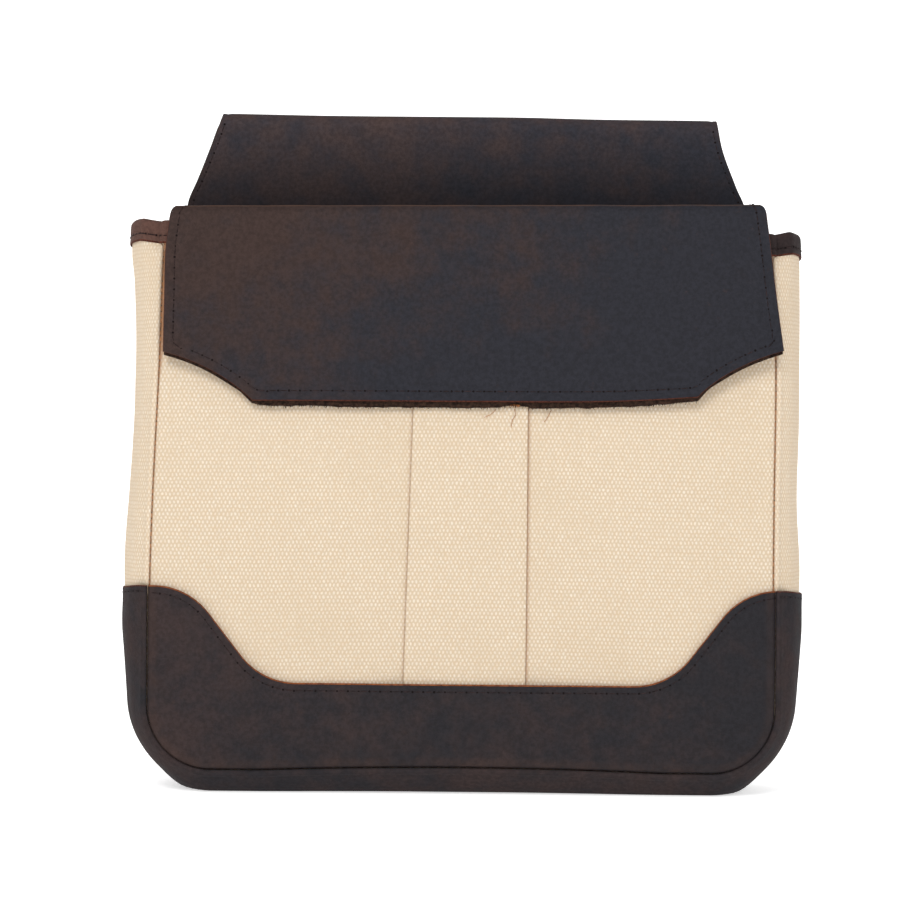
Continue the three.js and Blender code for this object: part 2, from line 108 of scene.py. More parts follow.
# Mouth and its binding
MOUTH = dict(left=0.2277, right=0.2247)
MOUTH_RISE = dict(height=0.0014, full=0.6)
MOUTH_BOW = 0.0026
BACK_TOP = 0.2274
BINDING_LEG = 0.0084
BINDING_STEPS = [0.0, 0.0005, 0.0012, 0.0024, 0.0032, 0.0042, 0.0054]
BINDING_GAP = 0.0001
BINDING_CLEAR = 0.0036
BINDING_TURN = 0.0022
BOUND_PLACES = (12, 58)
BINDING_DROOP = 0.12
BINDING_CROWN = 0.0022
BINDING_WEAR = dict(share=0.15, reach=0.004)

# Box pleat
BAND_LEFT_FOOT = -0.0239
BAND_LEFT_TOP = -0.0179
BAND_RIGHT = 0.0258
UNDERLAP = 0.014
FOLD_CLOTH = 0.0007
FOLD_PITCH = 0.00065
BAND_LIFT = 2 * FOLD_PITCH
UNDER_BAND = 1.6 * FOLD_PITCH
FOLD_STEPS = [0.009, 0.0065, 0.0045, 0.003, 0.0018, 0.0009, 0.0002]
FOLD_ANGLES = [math.pi * k / 10 for k in range(11)]
PLEAT_PRESS = dict(foot=SEAM_BASE + 0.004, low=SEAM_BASE + 0.044, high=0.180, top=0.212)
BAND_EASE = dict(start=0.008, end=0.001)

# Leather base
PATCH_TIP = 0.0814
PATCH_FLAT = 0.043
CURVE_MIDDLE = dict(left=0.0943, right=0.0977)
CURVE_HALF = 0.0286
CURVE_RADIUS = 0.028
CURVE_SLOPE = math.radians(52)
GUARD_DIP = 0.0019
GUARD_DIP_REACH = 0.015
GUARD_OVERLAP = dict(start=PATCH_TIP - 0.004, end=PATCH_TIP + 0.001)
PATCH_BELOW = GAP + CANVAS
PATCH_BESIDE = 0.0007
GUARD_SKIVE = dict(left=0.0014, right=0.0010, reach=0.020)
PATCH_EASE = dict(left_start=-0.040, left_end=-0.026, right_end=0.030, right_start=0.044)
PATCH_WEAR = dict(share=0.15, none=0.0045, full=0.0025)

# Flap and its lining
FLAP_START = (-0.0428, 0.1567)
FLAP_LEAN = math.radians(2.09)
FLAP_TILT = dict(slope=0.0105, full=0.090, none=0.145)
FLAP_FLARE = dict(left=0.0002, right=0.0020, start=0.085, end=0.122, fade=0.060)
FLAP_HEM = table(
    "x lift",
    (-0.0839, 0.0004), (-0.0500, 0.0003), (-0.0100, 0.0),
    (0.0500, -0.0003), (0.0730, 0.0003), (0.0941, 0.0015),
)
SCOOP_RISE = 0.0196
SCOOP_SAG = 0.0027
SCOOP_MARGIN = 0.006
FLAP_RUN = [
    straight(SCOOP_RISE, 16),
    straight(0.05467, 30),
    bend(0.004, 88.91, 14),
    straight(0.0691, 26),
    bend(0.0045, 89, 12),
    straight(0.02746, 10),
]
FLAP_EDGES = table(
    "run left right",
    (0.0, 0.0839, 0.0930),
    (SCOOP_RISE, 0.1195, 0.1268),
    (0.044, 0.1192, 0.1235),
    (0.060, 0.1190, 0.1216),
    (0.071, 0.1178, 0.1201),
    (0.0765, 0.1168, 0.1192),
    (0.0805, 0.1150, 0.1172),
    (0.150, 0.1140, 0.1160),
    (0.190, 0.1140, 0.1160),
)
FLAP_SOFT = dict(none=0.075, full=0.05)
FLAP_CREST = 0.0803
FLAP_WEAR = dict(none=0.0027, full=0.0008)
FLAP_MIDDLE = 0.19
LINING_HANG = table(
    "x proud",
    (-0.0839, 0.0011), (-0.0780, 0.0020), (-0.0600, 0.0023), (-0.0200, 0.0027),
    (0.0500, 0.0025), (0.0880, 0.0018), (0.0941, 0.0013),
)
LINING_HEM = 0.004
LINING_PULLED = dict(start=0.012, full=0.017, still=0.0254, end=0.0262, left=0.65)
LINING_EVEN = 0.95
LINING_GAP = 0.0002
LINING_IN = 0.0003
SCOOP_PROUD = dict(left=0.0011, right=0.0012)
SCOOP_BARE = dict(start=-0.002, end=0.008)

# Belt loop
LOOP_START = (BACK_FACE + GAP + LINING + GAP + FLAP_LEATHER + GAP, 0.203)
LOOP_LEAN = math.radians(1.5)
LOOP_TILT = dict(slope=-0.0066, start=0.020, full=0.068, still=0.088, end=0.136)
LOOP_RUN = [
    straight(0.0689, 36),
    bend(0.0065, 177, 26),
    straight(0.046, 22),
    bend(0.014, 34, 8),
    straight(0.0251, 10),
    bend(0.012, -32.5, 8),
    straight(0.013, 6),
]
LOOP_EDGES = table(
    "run left right",
    (0.0, 0.1170, 0.1178),
    (0.036, 0.1168, 0.1184),
    (0.047, 0.1126, 0.1142),
    (0.064, 0.1058, 0.1081),
    (0.078, 0.1026, 0.1064),
    (0.092, 0.1066, 0.1082),
    (0.109, 0.1130, 0.1142),
    (0.120, 0.1164, 0.1176),
    (0.200, 0.1170, 0.1178),
)
LOOP_WEAR = dict(share=0.2, crest_none=0.010, crest_full=0.003, edge_none=0.0012, edge_full=0.0001)

# Sewn edges: the cloth turned in at the seam, and the rolled lips of the strips beside it
CANVAS_TURN = dict(width=0.0012, depth=0.0005)
PATCH_TURN = dict(width=0.0014, depth=0.0010)
CANVAS_LIP = table(
    "out ahead",
    (-0.00370, -0.0024), (-0.00220, -0.0023), (-0.00140, -0.0009), (-0.00125, -0.0002),
    (-0.00065, 0.0003), (0.00020, 0.0002), (0.00090, -0.0006), (0.00130, -0.0019),
)
GUARD_LIP = table(
    "out ahead",
    (-0.00180, -0.0013), (-0.00165, -0.0002), (-0.00110, 0.0003),
    (-0.00030, 0.0003), (0.00060, -0.0006), (0.00130, -0.0019),
)
GUARD_BACK_LIP = table(
    "out ahead",
    (-0.0033, -0.0012), (-0.0029, 0.0004), (-0.0016, 0.0010),
    (-0.0002, 0.0009), (0.0008, -0.0003), (0.0013, -0.0019),
)
LIP_PLAIN = dict(start=0.0016, step=0.0004)
LIP_THIN = dict(share=0.4, reach=0.006)
# The seams' grooves, the lip beside them and the pleat's folds are darkened to warm brown as painted shade
SEAM_TINT = dict(thin=0.55, full=0.9, core=0.0002, narrow=0.0005, wide=0.0040, low=0.162, high=0.185)
LIP_TINT = dict(share=0.2, none=-0.0010, full=-0.0013)
FOLD_TINT = dict(left=0.3, right=0.6, core=0.0003, width=0.0012)
RIM_SHARES = (0.2, 0.5, 0.8)
EDGE_STEPS = [0.0, 0.0005, 0.0010, 0.0016, 0.0023, 0.0032, 0.0044, 0.0060]
STITCH_STEPS = [0.0, 0.0006, 0.0012, 0.0019, 0.0026, 0.0032, 0.0038, 0.0046, 0.0058, 0.0075]
STEP_MARGIN = 0.0006
CHANNEL_DEPTH = 0.00022
CHANNEL_WIDTH = 0.0007
SHARP_EDGE = math.radians(55)

# Soft unevenness: its height, for the lining a share of its hang, the width of a wave, and a layer of noise
SOFT = dict(
    front=(0.0005, 0.045, 1.7), back=(0.0006, 0.05, 8.3), strip=(0.0006, 0.04, 4.1),
    patch=(0.0004, 0.035, 2.9), binding=(0.0003, 0.012, 6.2), flap=(0.0005, 0.055, 5.4),
    flap_fine=(0.0003, 0.02, 9.1), loop=(0.0005, 0.05, 7.7), lining=(0.2, 0.004, 3.3),
)
SOFT_REACH = 0.02
BACK_SOFT = dict(none=0.19, full=0.12, most=0.0002)

# How finely the pieces are divided
LEVELS = dict(front_corner=18, front=84, back_corner=14, back=60, gusset=80, guard=18, patch=16)
CORNER_STEPS = dict(gusset=16, guard=22, patch=22, binding=6)
FOOT_STEPS = dict(gusset=50, guard=90)
COLUMNS = dict(side=46, band=11, back=70, strip=12, patch=120, mouth=110, crown=8, flap=100, loop=90)

# Stitching
STITCH = {"Pitch": 0.0043, "Length": 0.0030, "Radius": 0.00020, "Hole Radius": 0.00046}
SEAM_STITCH = {"Pitch": 0.0024, "Length": 0.0017, "Radius": 0.00019, "Hole Radius": 0.00014}
STITCH_BOW = dict(sunk=-1.0, proud=1.3)
STITCH_SIZES = (0.55, 1.15)
HOLE_STAND = 0.00012
FLAP_STITCH_IN = 0.0037
FLAP_STITCH_END = 0.098
FLAP_CHANNEL_END = 0.08
PATCH_STITCH_IN = 0.0026
PATCH_STITCH_HALF = 0.1225
GUARD_STITCH_IN = 0.0019
GUARD_STITCH_COLUMNS = (12, -14)
BINDING_STITCH_IN = 0.0024
LOOP_STITCH_IN = 0.0021
LOOP_STITCH_RUNS = [(0.006, 0.068), (0.092, 0.150)]
LOOP_FOOT_STITCH = dict(left=-0.112, right=0.113, up=0.005)
SEAM_THREAD = dict(below=0.001, out=0.0002, ahead=0.0003)

# Weave
DOT_PITCH = 0.0016
ROW_PITCH = 0.00158
DOT_NARROWNESS = 1.5
DOT_SHORTNESS = 0.9
THREAD_WANDER = 0.0011
YARN = (0.593, 0.491, 0.373)
YARN_SHADE = (-0.040, -0.049, -0.055)
YARN_LIGHT = (0.162, 0.200, 0.225)
YARN_WARM = (1.0, 0.955, 0.90)
STAIN = (0.52, 0.40, 0.265)
FLECK = (0.36, 0.24, 0.14)
# Warm brown painted shade for the seams' grooves and the pleat's folds
PAINTED_SEAM_SHADE = (0.28, 0.125, 0.055)

# Fibres: fuzz on the lining's lower edge, a tuft there, and loose ones that hang on the cloth, in x and z
FUZZ = {"Spacing": 0.0002, "Length": 0.0010, "Radius": 0.00007}
FUZZ_RUN = dict(start=-0.083, end=0.093, count=200)
TUFT = {"Spacing": 0.00008, "Length": 0.0009, "Radius": 0.00009}
TUFT_RUN = dict(start=0.0183, end=0.0224, count=20)
FUZZ_SWAY = Vector((0.9, 0.7, 3.1))
FUZZ_SIZES = (0.3, 1.5)
FUZZ_OUT = Vector((0.0, -0.4, -1.0))
FUZZ_DOWN = 0.8
FIBRE_RADIUS = 0.00009
FIBRE_STAND = 0.0005
LOOSE_FIBRES = [
    [(0.0131, 0.1535), (0.0110, 0.1514), (0.0083, 0.1501)],
    [(0.0203, 0.1535), (0.0207, 0.1512), (0.0195, 0.1490), (0.0191, 0.1462)],
    [(0.0350, 0.1534), (0.0338, 0.1508), (0.0322, 0.1485)],
]


def lerp(a, b, share):
    return a + (b - a) * share


def rise(start, end, at):
    share = min(max((at - start) / (end - start), 0.0), 1.0)
    return share * share * (3.0 - 2.0 * share)


def evenly(start, end, count):
    return [lerp(start, end, k / count) for k in range(count + 1)]


def spaced(start, end, count):
    return evenly(start, end, count)[1:]


def read(rows, key, at, column):
    """A column of a table, read between its rows along a smooth curve."""
    last = len(rows) - 1
    place = min(max(at, rows[0][key]), rows[last][key])
    i = 0
    while i < last - 1 and place > rows[i + 1][key]:
        i += 1

    def slope(k):
        a = rows[max(k - 1, 0)]
        b = rows[min(k + 1, last)]
        return (b[column] - a[column]) / (b[key] - a[key])

    span = rows[i + 1][key] - rows[i][key]
    s = (place - rows[i][key]) / span
    start = (1 + 2 * s) * (1 - s) ** 2 * rows[i][column] + s * (1 - s) ** 2 * span * slope(i)
    end = s * s * (3 - 2 * s) * rows[i + 1][column] + s * s * (s - 1) * span * slope(i + 1)
    return start + end


def placed(point):
    """A point of the bag in the shared frame, with all but the foot lifted a little."""
    x, y, z = point
    return x, y - FOOT_Y, z + SETTLE["lift"] * rise(0.0, SETTLE["reach"], z)


def soft(piece, x, z):
    """A piece's soft unevenness, the same on every run."""
    height, size, layer = SOFT[piece]
    return height * noise.noise(Vector((x / size, z / size, layer)))


def smooth_through(points, steps):
    """More points on a smooth curve through these."""
    made = []
    last = len(points) - 1
    for i in range(last):
        a = points[max(i - 1, 0)]
        b = points[i]
        c = points[i + 1]
        d = points[min(i + 2, last)]
        for k in range(steps):
            t = k / steps
            made.append(0.5 * (2 * b + (c - a) * t + (2 * a - 5 * b + 4 * c - d) * t * t
                               + (3 * b - a - 3 * c + d) * t ** 3))
    made.append(points[last])
    return made


def lengths(points):
    """Distances along a line of points, from its first."""
    run = [0.0]
    for a, b in zip(points, points[1:]):
        run.append(run[-1] + (b - a).length)
    return run


def edged(start, end, steps, columns):
    """Places across a piece, with close steps at both edges."""
    inner = spaced(start + steps[-1], end - steps[-1], columns)[:-1]
    return [start + step for step in steps] + inner + [end - step for step in steps[::-1]]


# Body outline


def foot_z(x):
    return SEAM_BASE + BASE_ARCH * max(0.0, 1 - (x / BASE_ARCH_HALF) ** 2)


def side_name(x):
    return "left" if x < 0 else "right"


def straight_width(side, z):
    return read(SIDES, "z", max(z, SIDES[0]["z"]), side)


def half_width(side, z):
    below = max(0.0, CORNER_TOP - z)
    return straight_width(side, z) - CORNER_RADIUS + math.sqrt(max(CORNER_RADIUS ** 2 - below ** 2, 0.0))


def mouth_z(x):
    top = SIDES[-1]
    share = (x + top["left"]) / (top["left"] + top["right"])
    bow = max(0.0, 1 - (2 * share - 1) ** 2)
    return lerp(MOUTH["left"], MOUTH["right"], min(max(share, 0.0), 1.0)) + MOUTH_BOW * bow


def up_share(z):
    return (z - SEAM_BASE) / (BACK_TOP - SEAM_BASE)


def front_y(x, z):
    across = max(0.0, 1 - (x / BELLY["half"]) ** 4)
    low = rise(BELLY["foot"], BELLY["low"], z)
    return FRONT_Y - BELLY["swell"] * across * low * rise(BELLY["top"], BELLY["high"], z)


def band_left(z):
    return lerp(BAND_LEFT_FOOT, BAND_LEFT_TOP, up_share(z))


def pressed(z):
    low = rise(PLEAT_PRESS["low"], PLEAT_PRESS["foot"], z)
    return max(low, rise(PLEAT_PRESS["high"], PLEAT_PRESS["top"], z))


def band_share(x, z):
    left = band_left(z)
    share = rise(left - BAND_EASE["start"], left - BAND_EASE["end"], x)
    return share * rise(BAND_RIGHT + BAND_EASE["start"], BAND_RIGHT + BAND_EASE["end"], x)


def pleat_press(x, z):
    return BAND_LIFT * pressed(z) * band_share(x, z)


def seam_distance(x, z, beside=0.0, below=0.0):
    """How far a point of the front lies inside the seam line, or a line that far beside and below it."""
    edge = straight_width(side_name(x), z) + beside
    radius = CORNER_RADIUS + beside
    across = abs(x) - (edge - radius)
    down = foot_z(x) - below + radius - z
    if across > 0 and down > 0:
        return radius - math.hypot(across, down)
    return min(edge - abs(x), z - foot_z(x) + below)


def patch_distance(x, z):
    return seam_distance(x, z, PATCH_BESIDE, PATCH_BELOW)


def turned_in(distance, turn):
    """How far an edge turns in towards the seam."""
    share = min(max(1 - distance / turn["width"], 0.0), 1.0)
    return turn["depth"] * share * share


def free_of_binding(z, mouth):
    return rise(mouth - BINDING_LEG, mouth - BINDING_LEG - BINDING_CLEAR, z)


def channel(distance, inset):
    """The shallow groove that a row of stitches pulls into the leather."""
    return CHANNEL_DEPTH * math.exp(-((distance - inset) / CHANNEL_WIDTH) ** 2)


# Meshes


def wall(name, rows, finishes, rounding=None):
    """A closed sheet from rows of spots: a point on the face, one on the back, a place in the cut cloth, and
    wear, which on the canvas is painted shade in the seams and folds. finishes are for face, back and cut
    edge. rounding is how far the cut edges bulge at the first and last row and at the first and last column."""
    last = len(rows) - 1
    end = len(rows[0]) - 1
    points = []
    cut = []
    worn = []
    faces = []
    marks = []

    def add(point, spot):
        points.append(placed(point))
        cut.append(spot[2])
        worn.append(spot[3])
        return len(points) - 1

    def quad(mark, *corners):
        faces.append(corners)
        marks.append(mark)

    def rim(i, j):
        """The points over the cut edge, from the face to the back."""
        if not rounding:
            return grid[i][j]
        spot = rows[i][j]
        bulge = Vector((0.0, 0.0, 0.0))
        sides = [(i == 0, 1, j), (i == last, last - 1, j), (j == 0, i, 1), (j == end, i, end - 1)]
        for reach, (at_edge, row, column) in zip(rounding, sides):
            if at_edge:
                bulge += (spot[0] - rows[row][column][0]).normalized() * reach
        over = []
        for share in RIM_SHARES:
            point = spot[0].lerp(spot[1], share) + bulge * math.sin(math.pi * share)
            over.append(add(point, spot))
        return [grid[i][j][0], *over, grid[i][j][1]]

    def edge_faces(a, b):
        for k in range(len(a) - 1):
            quad(2, a[k], a[k + 1], b[k + 1], b[k])

    grid = [[[add(spot[0], spot), add(spot[1], spot)] for spot in row] for row in rows]
    border = [(i, j) for i in range(last + 1) for j in range(end + 1) if i in (0, last) or j in (0, end)]
    rims = {place: rim(*place) for place in border}
    for i in range(last):
        for j in range(end):
            quad(0, grid[i][j][0], grid[i + 1][j][0], grid[i + 1][j + 1][0], grid[i][j + 1][0])
            quad(1, grid[i][j][1], grid[i][j + 1][1], grid[i + 1][j + 1][1], grid[i + 1][j][1])
        edge_faces(rims[i, 0], rims[i + 1, 0])
        edge_faces(rims[i + 1, end], rims[i, end])
    for j in range(end):
        edge_faces(rims[0, j + 1], rims[0, j])
        edge_faces(rims[last, j], rims[last, j + 1])
    mesh = bpy.data.meshes.new(name)
    mesh.from_pydata(points, [], faces)
    for finish in finishes:
        mesh.materials.append(finish)
    mesh.polygons.foreach_set("material_index", marks)
    layer = mesh.uv_layers.new(name="cut")
    for loop in mesh.loops:
        layer.data[loop.index].uv = cut[loop.vertex_index]
    # Per point wear: rubbed leather, and painted shade on the canvas
    mesh.attributes.new("wear_and_shade", "FLOAT", "POINT").data.foreach_set("value", worn)
    shape = bmesh.new()
    shape.from_mesh(mesh)
    if shape.calc_volume(signed=True) < 0:
        bmesh.ops.reverse_faces(shape, faces=shape.faces)
    shape.to_mesh(mesh)
    shape.free()
    return finished(name, mesh)


def finished(name, mesh):
    mesh.polygons.foreach_set("use_smooth", [True] * len(mesh.polygons))
    mesh.set_sharp_from_angle(angle=SHARP_EDGE)
    return linked(bpy.data.objects.new(name, mesh))


def linked(made):
    bpy.context.scene.collection.objects.link(made)
    return made


# Finishes


def node(tree, kind, inputs=None, **settings):
    made = tree.nodes.new(kind)
    for key, value in settings.items():
        setattr(made, key, value)
    for key, value in (inputs or {}).items():
        if isinstance(value, bpy.types.NodeSocket):
            tree.links.new(value, made.inputs[key])
        else:
            made.inputs[key].default_value = value
    return made


def sums(tree, operation, a, b=0.0):
    return node(tree, "ShaderNodeMath", {0: a, 1: b}, operation=operation).outputs[0]


def plus(tree, a, b):
    return sums(tree, "ADD", a, b)


def times(tree, a, b):
    return sums(tree, "MULTIPLY", a, b)


def moved(tree, operation, inputs):
    return node(tree, "ShaderNodeVectorMath", inputs, operation=operation).outputs[0]


def ramp(tree, value, low, high, to_low=0.0, to_high=1.0):
    inputs = {"Value": value, "From Min": low, "From Max": high, "To Min": to_low, "To Max": to_high}
    return node(tree, "ShaderNodeMapRange", inputs, interpolation_type="SMOOTHSTEP").outputs["Result"]


def opaque(colour):
    return (*colour, 1.0) if isinstance(colour, tuple) else colour


def blend(tree, share, a, b, how="MIX"):
    inputs = {0: share, 6: opaque(a), 7: opaque(b)}
    return node(tree, "ShaderNodeMix", inputs, data_type="RGBA", blend_type=how).outputs[2]


def cloud(tree, place, scale, detail=3.0, roughness=0.55):
    inputs = {"Vector": place, "Scale": scale, "Detail": detail, "Roughness": roughness}
    return node(tree, "ShaderNodeTexNoise", inputs).outputs["Fac"]


def relief(tree, surface, height, strength, distance):
    bump = node(tree, "ShaderNodeBump", {"Strength": strength, "Distance": distance, "Height": height})
    tree.links.new(bump.outputs["Normal"], surface.inputs["Normal"])


def new_finish(name, roughness, specular):
    material = bpy.data.materials.new(name)
    material.use_nodes = True
    tree = material.node_tree
    tree.nodes.clear()
    inputs = {"Roughness": roughness, "Specular IOR Level": specular}
    surface = node(tree, "ShaderNodeBsdfPrincipled", inputs)
    node(tree, "ShaderNodeOutputMaterial", {"Surface": surface.outputs["BSDF"]})
    return material, tree, surface


def object_place(tree):
    return node(tree, "ShaderNodeTexCoord").outputs["Object"]


def wear_and_shade_share(tree):
    return node(tree, "ShaderNodeAttribute", attribute_name="wear_and_shade").outputs["Fac"]


def yarn_colour(shift, contrast, tone):
    return tuple(tone * (middle + contrast * part) for middle, part in zip(YARN, shift))


def canvas_finish(name, contrast, tone):
    """Plain-woven cotton duck: pale dots of warp in rows, staggered from row to row."""
    material, tree, surface = new_finish(name, 0.92, 0.12)
    cut = node(tree, "ShaderNodeUVMap", uv_map="cut").outputs["UV"]
    uneven = node(tree, "ShaderNodeTexNoise", {"Vector": cut, "Scale": 420.0, "Detail": 3.0})
    shift = moved(tree, "SUBTRACT", {0: uneven.outputs["Color"], 1: (0.5, 0.5, 0.5)})
    wander = moved(tree, "SCALE", {0: shift, "Scale": THREAD_WANDER})
    thread = moved(tree, "ADD", {0: cut, 1: wander})
    parts = node(tree, "ShaderNodeSeparateXYZ", {0: thread}).outputs
    across = sums(tree, "COSINE", times(tree, parts["X"], 2 * math.pi / DOT_PITCH))
    along = sums(tree, "COSINE", times(tree, parts["Y"], math.pi / ROW_PITCH))

    def dots(sign):
        """The dots of every other row."""
        wide = plus(tree, times(tree, across, 0.5 * sign), 0.5)
        tall = sums(tree, "MAXIMUM", times(tree, along, sign), 0.0)
        narrow = sums(tree, "POWER", wide, DOT_NARROWNESS)
        return times(tree, narrow, sums(tree, "POWER", tall, DOT_SHORTNESS))

    raised = plus(tree, dots(1.0), dots(-1.0))
    slub = cloud(tree, cut, 300.0, 3.0)
    lit = times(tree, ramp(tree, raised, 0.05, 0.85), ramp(tree, slub, 0.3, 0.7, 0.6, 1.0))
    yarn = blend(tree, lit, yarn_colour(YARN_SHADE, contrast, tone), yarn_colour(YARN_LIGHT, contrast, tone))
    warm = ramp(tree, cloud(tree, cut, 520.0, 2.0), 0.36, 0.64, 0.0, 0.7)
    spun = blend(tree, warm, yarn, YARN_WARM, "MULTIPLY")
    stained = ramp(tree, cloud(tree, cut, 26.0, 4.0), 0.42, 0.72)
    aged = blend(tree, times(tree, stained, 0.16), spun, STAIN)
    specks = ramp(tree, cloud(tree, cut, 900.0, 1.0), 0.72, 0.80)
    flecked = blend(tree, times(tree, specks, 0.22), aged, FLECK)
    # Painted shade: where the attribute is set, the cloth in the seam grooves and at the pleat's folds turns
    # warm brown
    seam_shaded = blend(tree, wear_and_shade_share(tree), flecked, PAINTED_SEAM_SHADE)
    tree.links.new(seam_shaded, surface.inputs["Base Color"])
    relief(tree, surface, plus(tree, raised, times(tree, slub, 0.5)), 0.5 * contrast, 0.0003)
    return material


def leather_finish(name, dark, brown, worn, leftward, upward=0.0, lean=0.0, shaded=None):
    """Oiled pull-up leather: clouded brown and near black, paler where it is rubbed. leftward and upward are
    how fast it gets browner to the left and to the top, lean how brown it is in the middle, and shaded the
    heights between which painted shade, darkest below, fades out towards the top."""
    material, tree, surface = new_finish(name, 0.62, 0.012)
    place = object_place(tree)
    broad = cloud(tree, place, 17.0, 5.0, 0.6)
    patches = cloud(tree, place, 95.0, 5.0, 0.62)
    fine = cloud(tree, place, 620.0, 4.0, 0.65)
    parts = node(tree, "ShaderNodeSeparateXYZ", {0: place}).outputs
    to_left = times(tree, parts["X"], -leftward)
    to_top = times(tree, sums(tree, "SUBTRACT", parts["Z"], FLAP_MIDDLE), upward)
    mixed = plus(tree, times(tree, broad, 0.5), times(tree, patches, 0.5))
    leaning = plus(tree, plus(tree, mixed, lean), plus(tree, to_left, to_top))
    clouded = blend(tree, ramp(tree, leaning, 0.33, 0.67), dark, brown)
    grained = blend(tree, ramp(tree, fine, 0.32, 0.68, 0.0, 0.35), clouded, GRAIN_DARK)
    scuffs = ramp(tree, cloud(tree, place, 210.0, 6.0, 0.75), 0.60, 0.74)
    scuffed = blend(tree, times(tree, scuffs, 0.22), grained, worn)
    rubbed = times(tree, wear_and_shade_share(tree), ramp(tree, patches, 0.30, 0.62, 0.35, 1.0))
    coloured = blend(tree, rubbed, scuffed, worn)
    # Painted shade: the loop darkens towards its foot behind the flap and clears by the upper height
    if shaded:
        depth = ramp(tree, parts["Z"], shaded[0], shaded[1], 0.64, 0.0)
        coloured = blend(tree, depth, coloured, SHADE_DARK)
    tree.links.new(coloured, surface.inputs["Base Color"])
    tree.links.new(ramp(tree, patches, 0.3, 0.7, 0.56, 0.72), surface.inputs["Roughness"])
    cells = node(tree, "ShaderNodeTexVoronoi", {"Vector": place, "Scale": 950.0}, feature="DISTANCE_TO_EDGE")
    pebble = ramp(tree, cells.outputs["Distance"], 0.0, 0.35)
    height = plus(tree, times(tree, pebble, 0.5), times(tree, fine, 1.2))
    relief(tree, surface, plus(tree, height, times(tree, patches, 2.2)), 0.5, 0.00016)
    return material


def fibre_finish(name, shade, light, scale, roughness=0.95):
    """Raw suede, flesh side, cut edge or thread: short matted fibre."""
    material, tree, surface = new_finish(name, roughness, 0.1)
    nap = cloud(tree, object_place(tree), scale, 5.0, 0.7)
    tree.links.new(blend(tree, ramp(tree, nap, 0.32, 0.68), shade, light), surface.inputs["Base Color"])
    relief(tree, surface, nap, 0.6, 0.0003)
    return material


def floor_finish():
    """White acrylic that is lit from below a little, so that it shows almost no shadow."""
    material, tree, surface = new_finish("lit_white", 0.9, 0.1)
    surface.inputs["Emission Color"].default_value = (1.0, 1.0, 1.0, 1.0)
    surface.inputs["Emission Strength"].default_value = FLOOR_GLOW
    soft_tone = ramp(tree, cloud(tree, object_place(tree), 6.0, 2.0), 0.3, 0.7)
    tone = blend(tree, soft_tone, (0.95, 0.95, 0.95), (0.96, 0.96, 0.96))
    tree.links.new(tone, surface.inputs["Base Color"])
    return material


GRAIN_DARK = (0.010, 0.009, 0.009)
# Near black that painted shade blends towards
SHADE_DARK = (0.006, 0.006, 0.007)
FLAP_DARK = (0.0272, 0.0276, 0.0342)
FLAP_BROWN = (0.0505, 0.0330, 0.0292)
BASE_DARK = (0.0255, 0.0245, 0.0280)
BASE_BROWN = (0.0470, 0.0332, 0.0322)
LOOP_DARK = (0.0375, 0.0382, 0.0485)
LOOP_BROWN = (0.0740, 0.0510, 0.0485)
BINDING_DARK = (0.033, 0.024, 0.024)
BINDING_BROWN = (0.112, 0.060, 0.048)
BINDING_WORN = (0.130, 0.070, 0.054)
WORN_BROWN = (0.085, 0.046, 0.032)
canvas = canvas_finish("cream_duck", 0.80, 1.0)
smooth_canvas = canvas_finish("cream_duck_side", 0.7, 1.04)
patch_leather = leather_finish("patch_leather", BASE_DARK, BASE_BROWN, WORN_BROWN, 0.9, lean=-0.06)
guard_leather = leather_finish("guard_leather", BASE_DARK, BASE_BROWN, WORN_BROWN, 0.0)
flap_leather = leather_finish("flap_leather", FLAP_DARK, FLAP_BROWN, WORN_BROWN, 1.4, 2.4, -0.10)
# The loop gets painted shade below these heights
loop_leather = leather_finish("loop_leather", LOOP_DARK, LOOP_BROWN, WORN_BROWN, 0.8, shaded=(0.232, 0.280))
binding_leather = leather_finish("binding_leather", BINDING_DARK, BINDING_BROWN, BINDING_WORN, 2.2)
flesh = fibre_finish("leather_flesh", (0.045, 0.026, 0.018), (0.10, 0.058, 0.038), 700.0)
black_edge = fibre_finish("black_cut_edge", (0.006, 0.005, 0.005), (0.020, 0.013, 0.012), 900.0)
# Cut edge for flap, guard and binding: dark red of itself, darkened further as painted shade matched to the
# flap's lower edge that faces down
dark_shaded_edge = fibre_finish("dark_shaded_cut_edge", (0.025, 0.007, 0.005), (0.115, 0.034, 0.020), 900.0)
raw_edge = fibre_finish("raw_cut_edge", (0.12, 0.032, 0.012), (0.32, 0.105, 0.037), 500.0)
suede = fibre_finish("brown_suede", (0.060, 0.026, 0.014), (0.150, 0.068, 0.036), 800.0)
# Suede for the lining's exposed hem and its fuzz: dark of itself, and darkened further as painted shade
# under the flap's edge
shaded_dark_suede = fibre_finish("shaded_dark_suede", (0.008, 0.005, 0.004), (0.056, 0.031, 0.021), 700.0)
loose_fibre = fibre_finish("loose_fibre", (0.20, 0.070, 0.025), (0.50, 0.20, 0.070), 900.0)
sewing_thread = fibre_finish("sewing_thread", (0.008, 0.005, 0.005), (0.036, 0.021, 0.021), 350.0, 0.8)
# Dark discs at the needle holes: painted shade inside the holes
needle_hole_shade = fibre_finish("needle_hole_shade", (0.004, 0.003, 0.003), (0.012, 0.007, 0.007), 2500.0)
seam_thread = fibre_finish("seam_thread", (0.34, 0.140, 0.058), (0.58, 0.300, 0.150), 2500.0, 0.8)


# Front and back panels


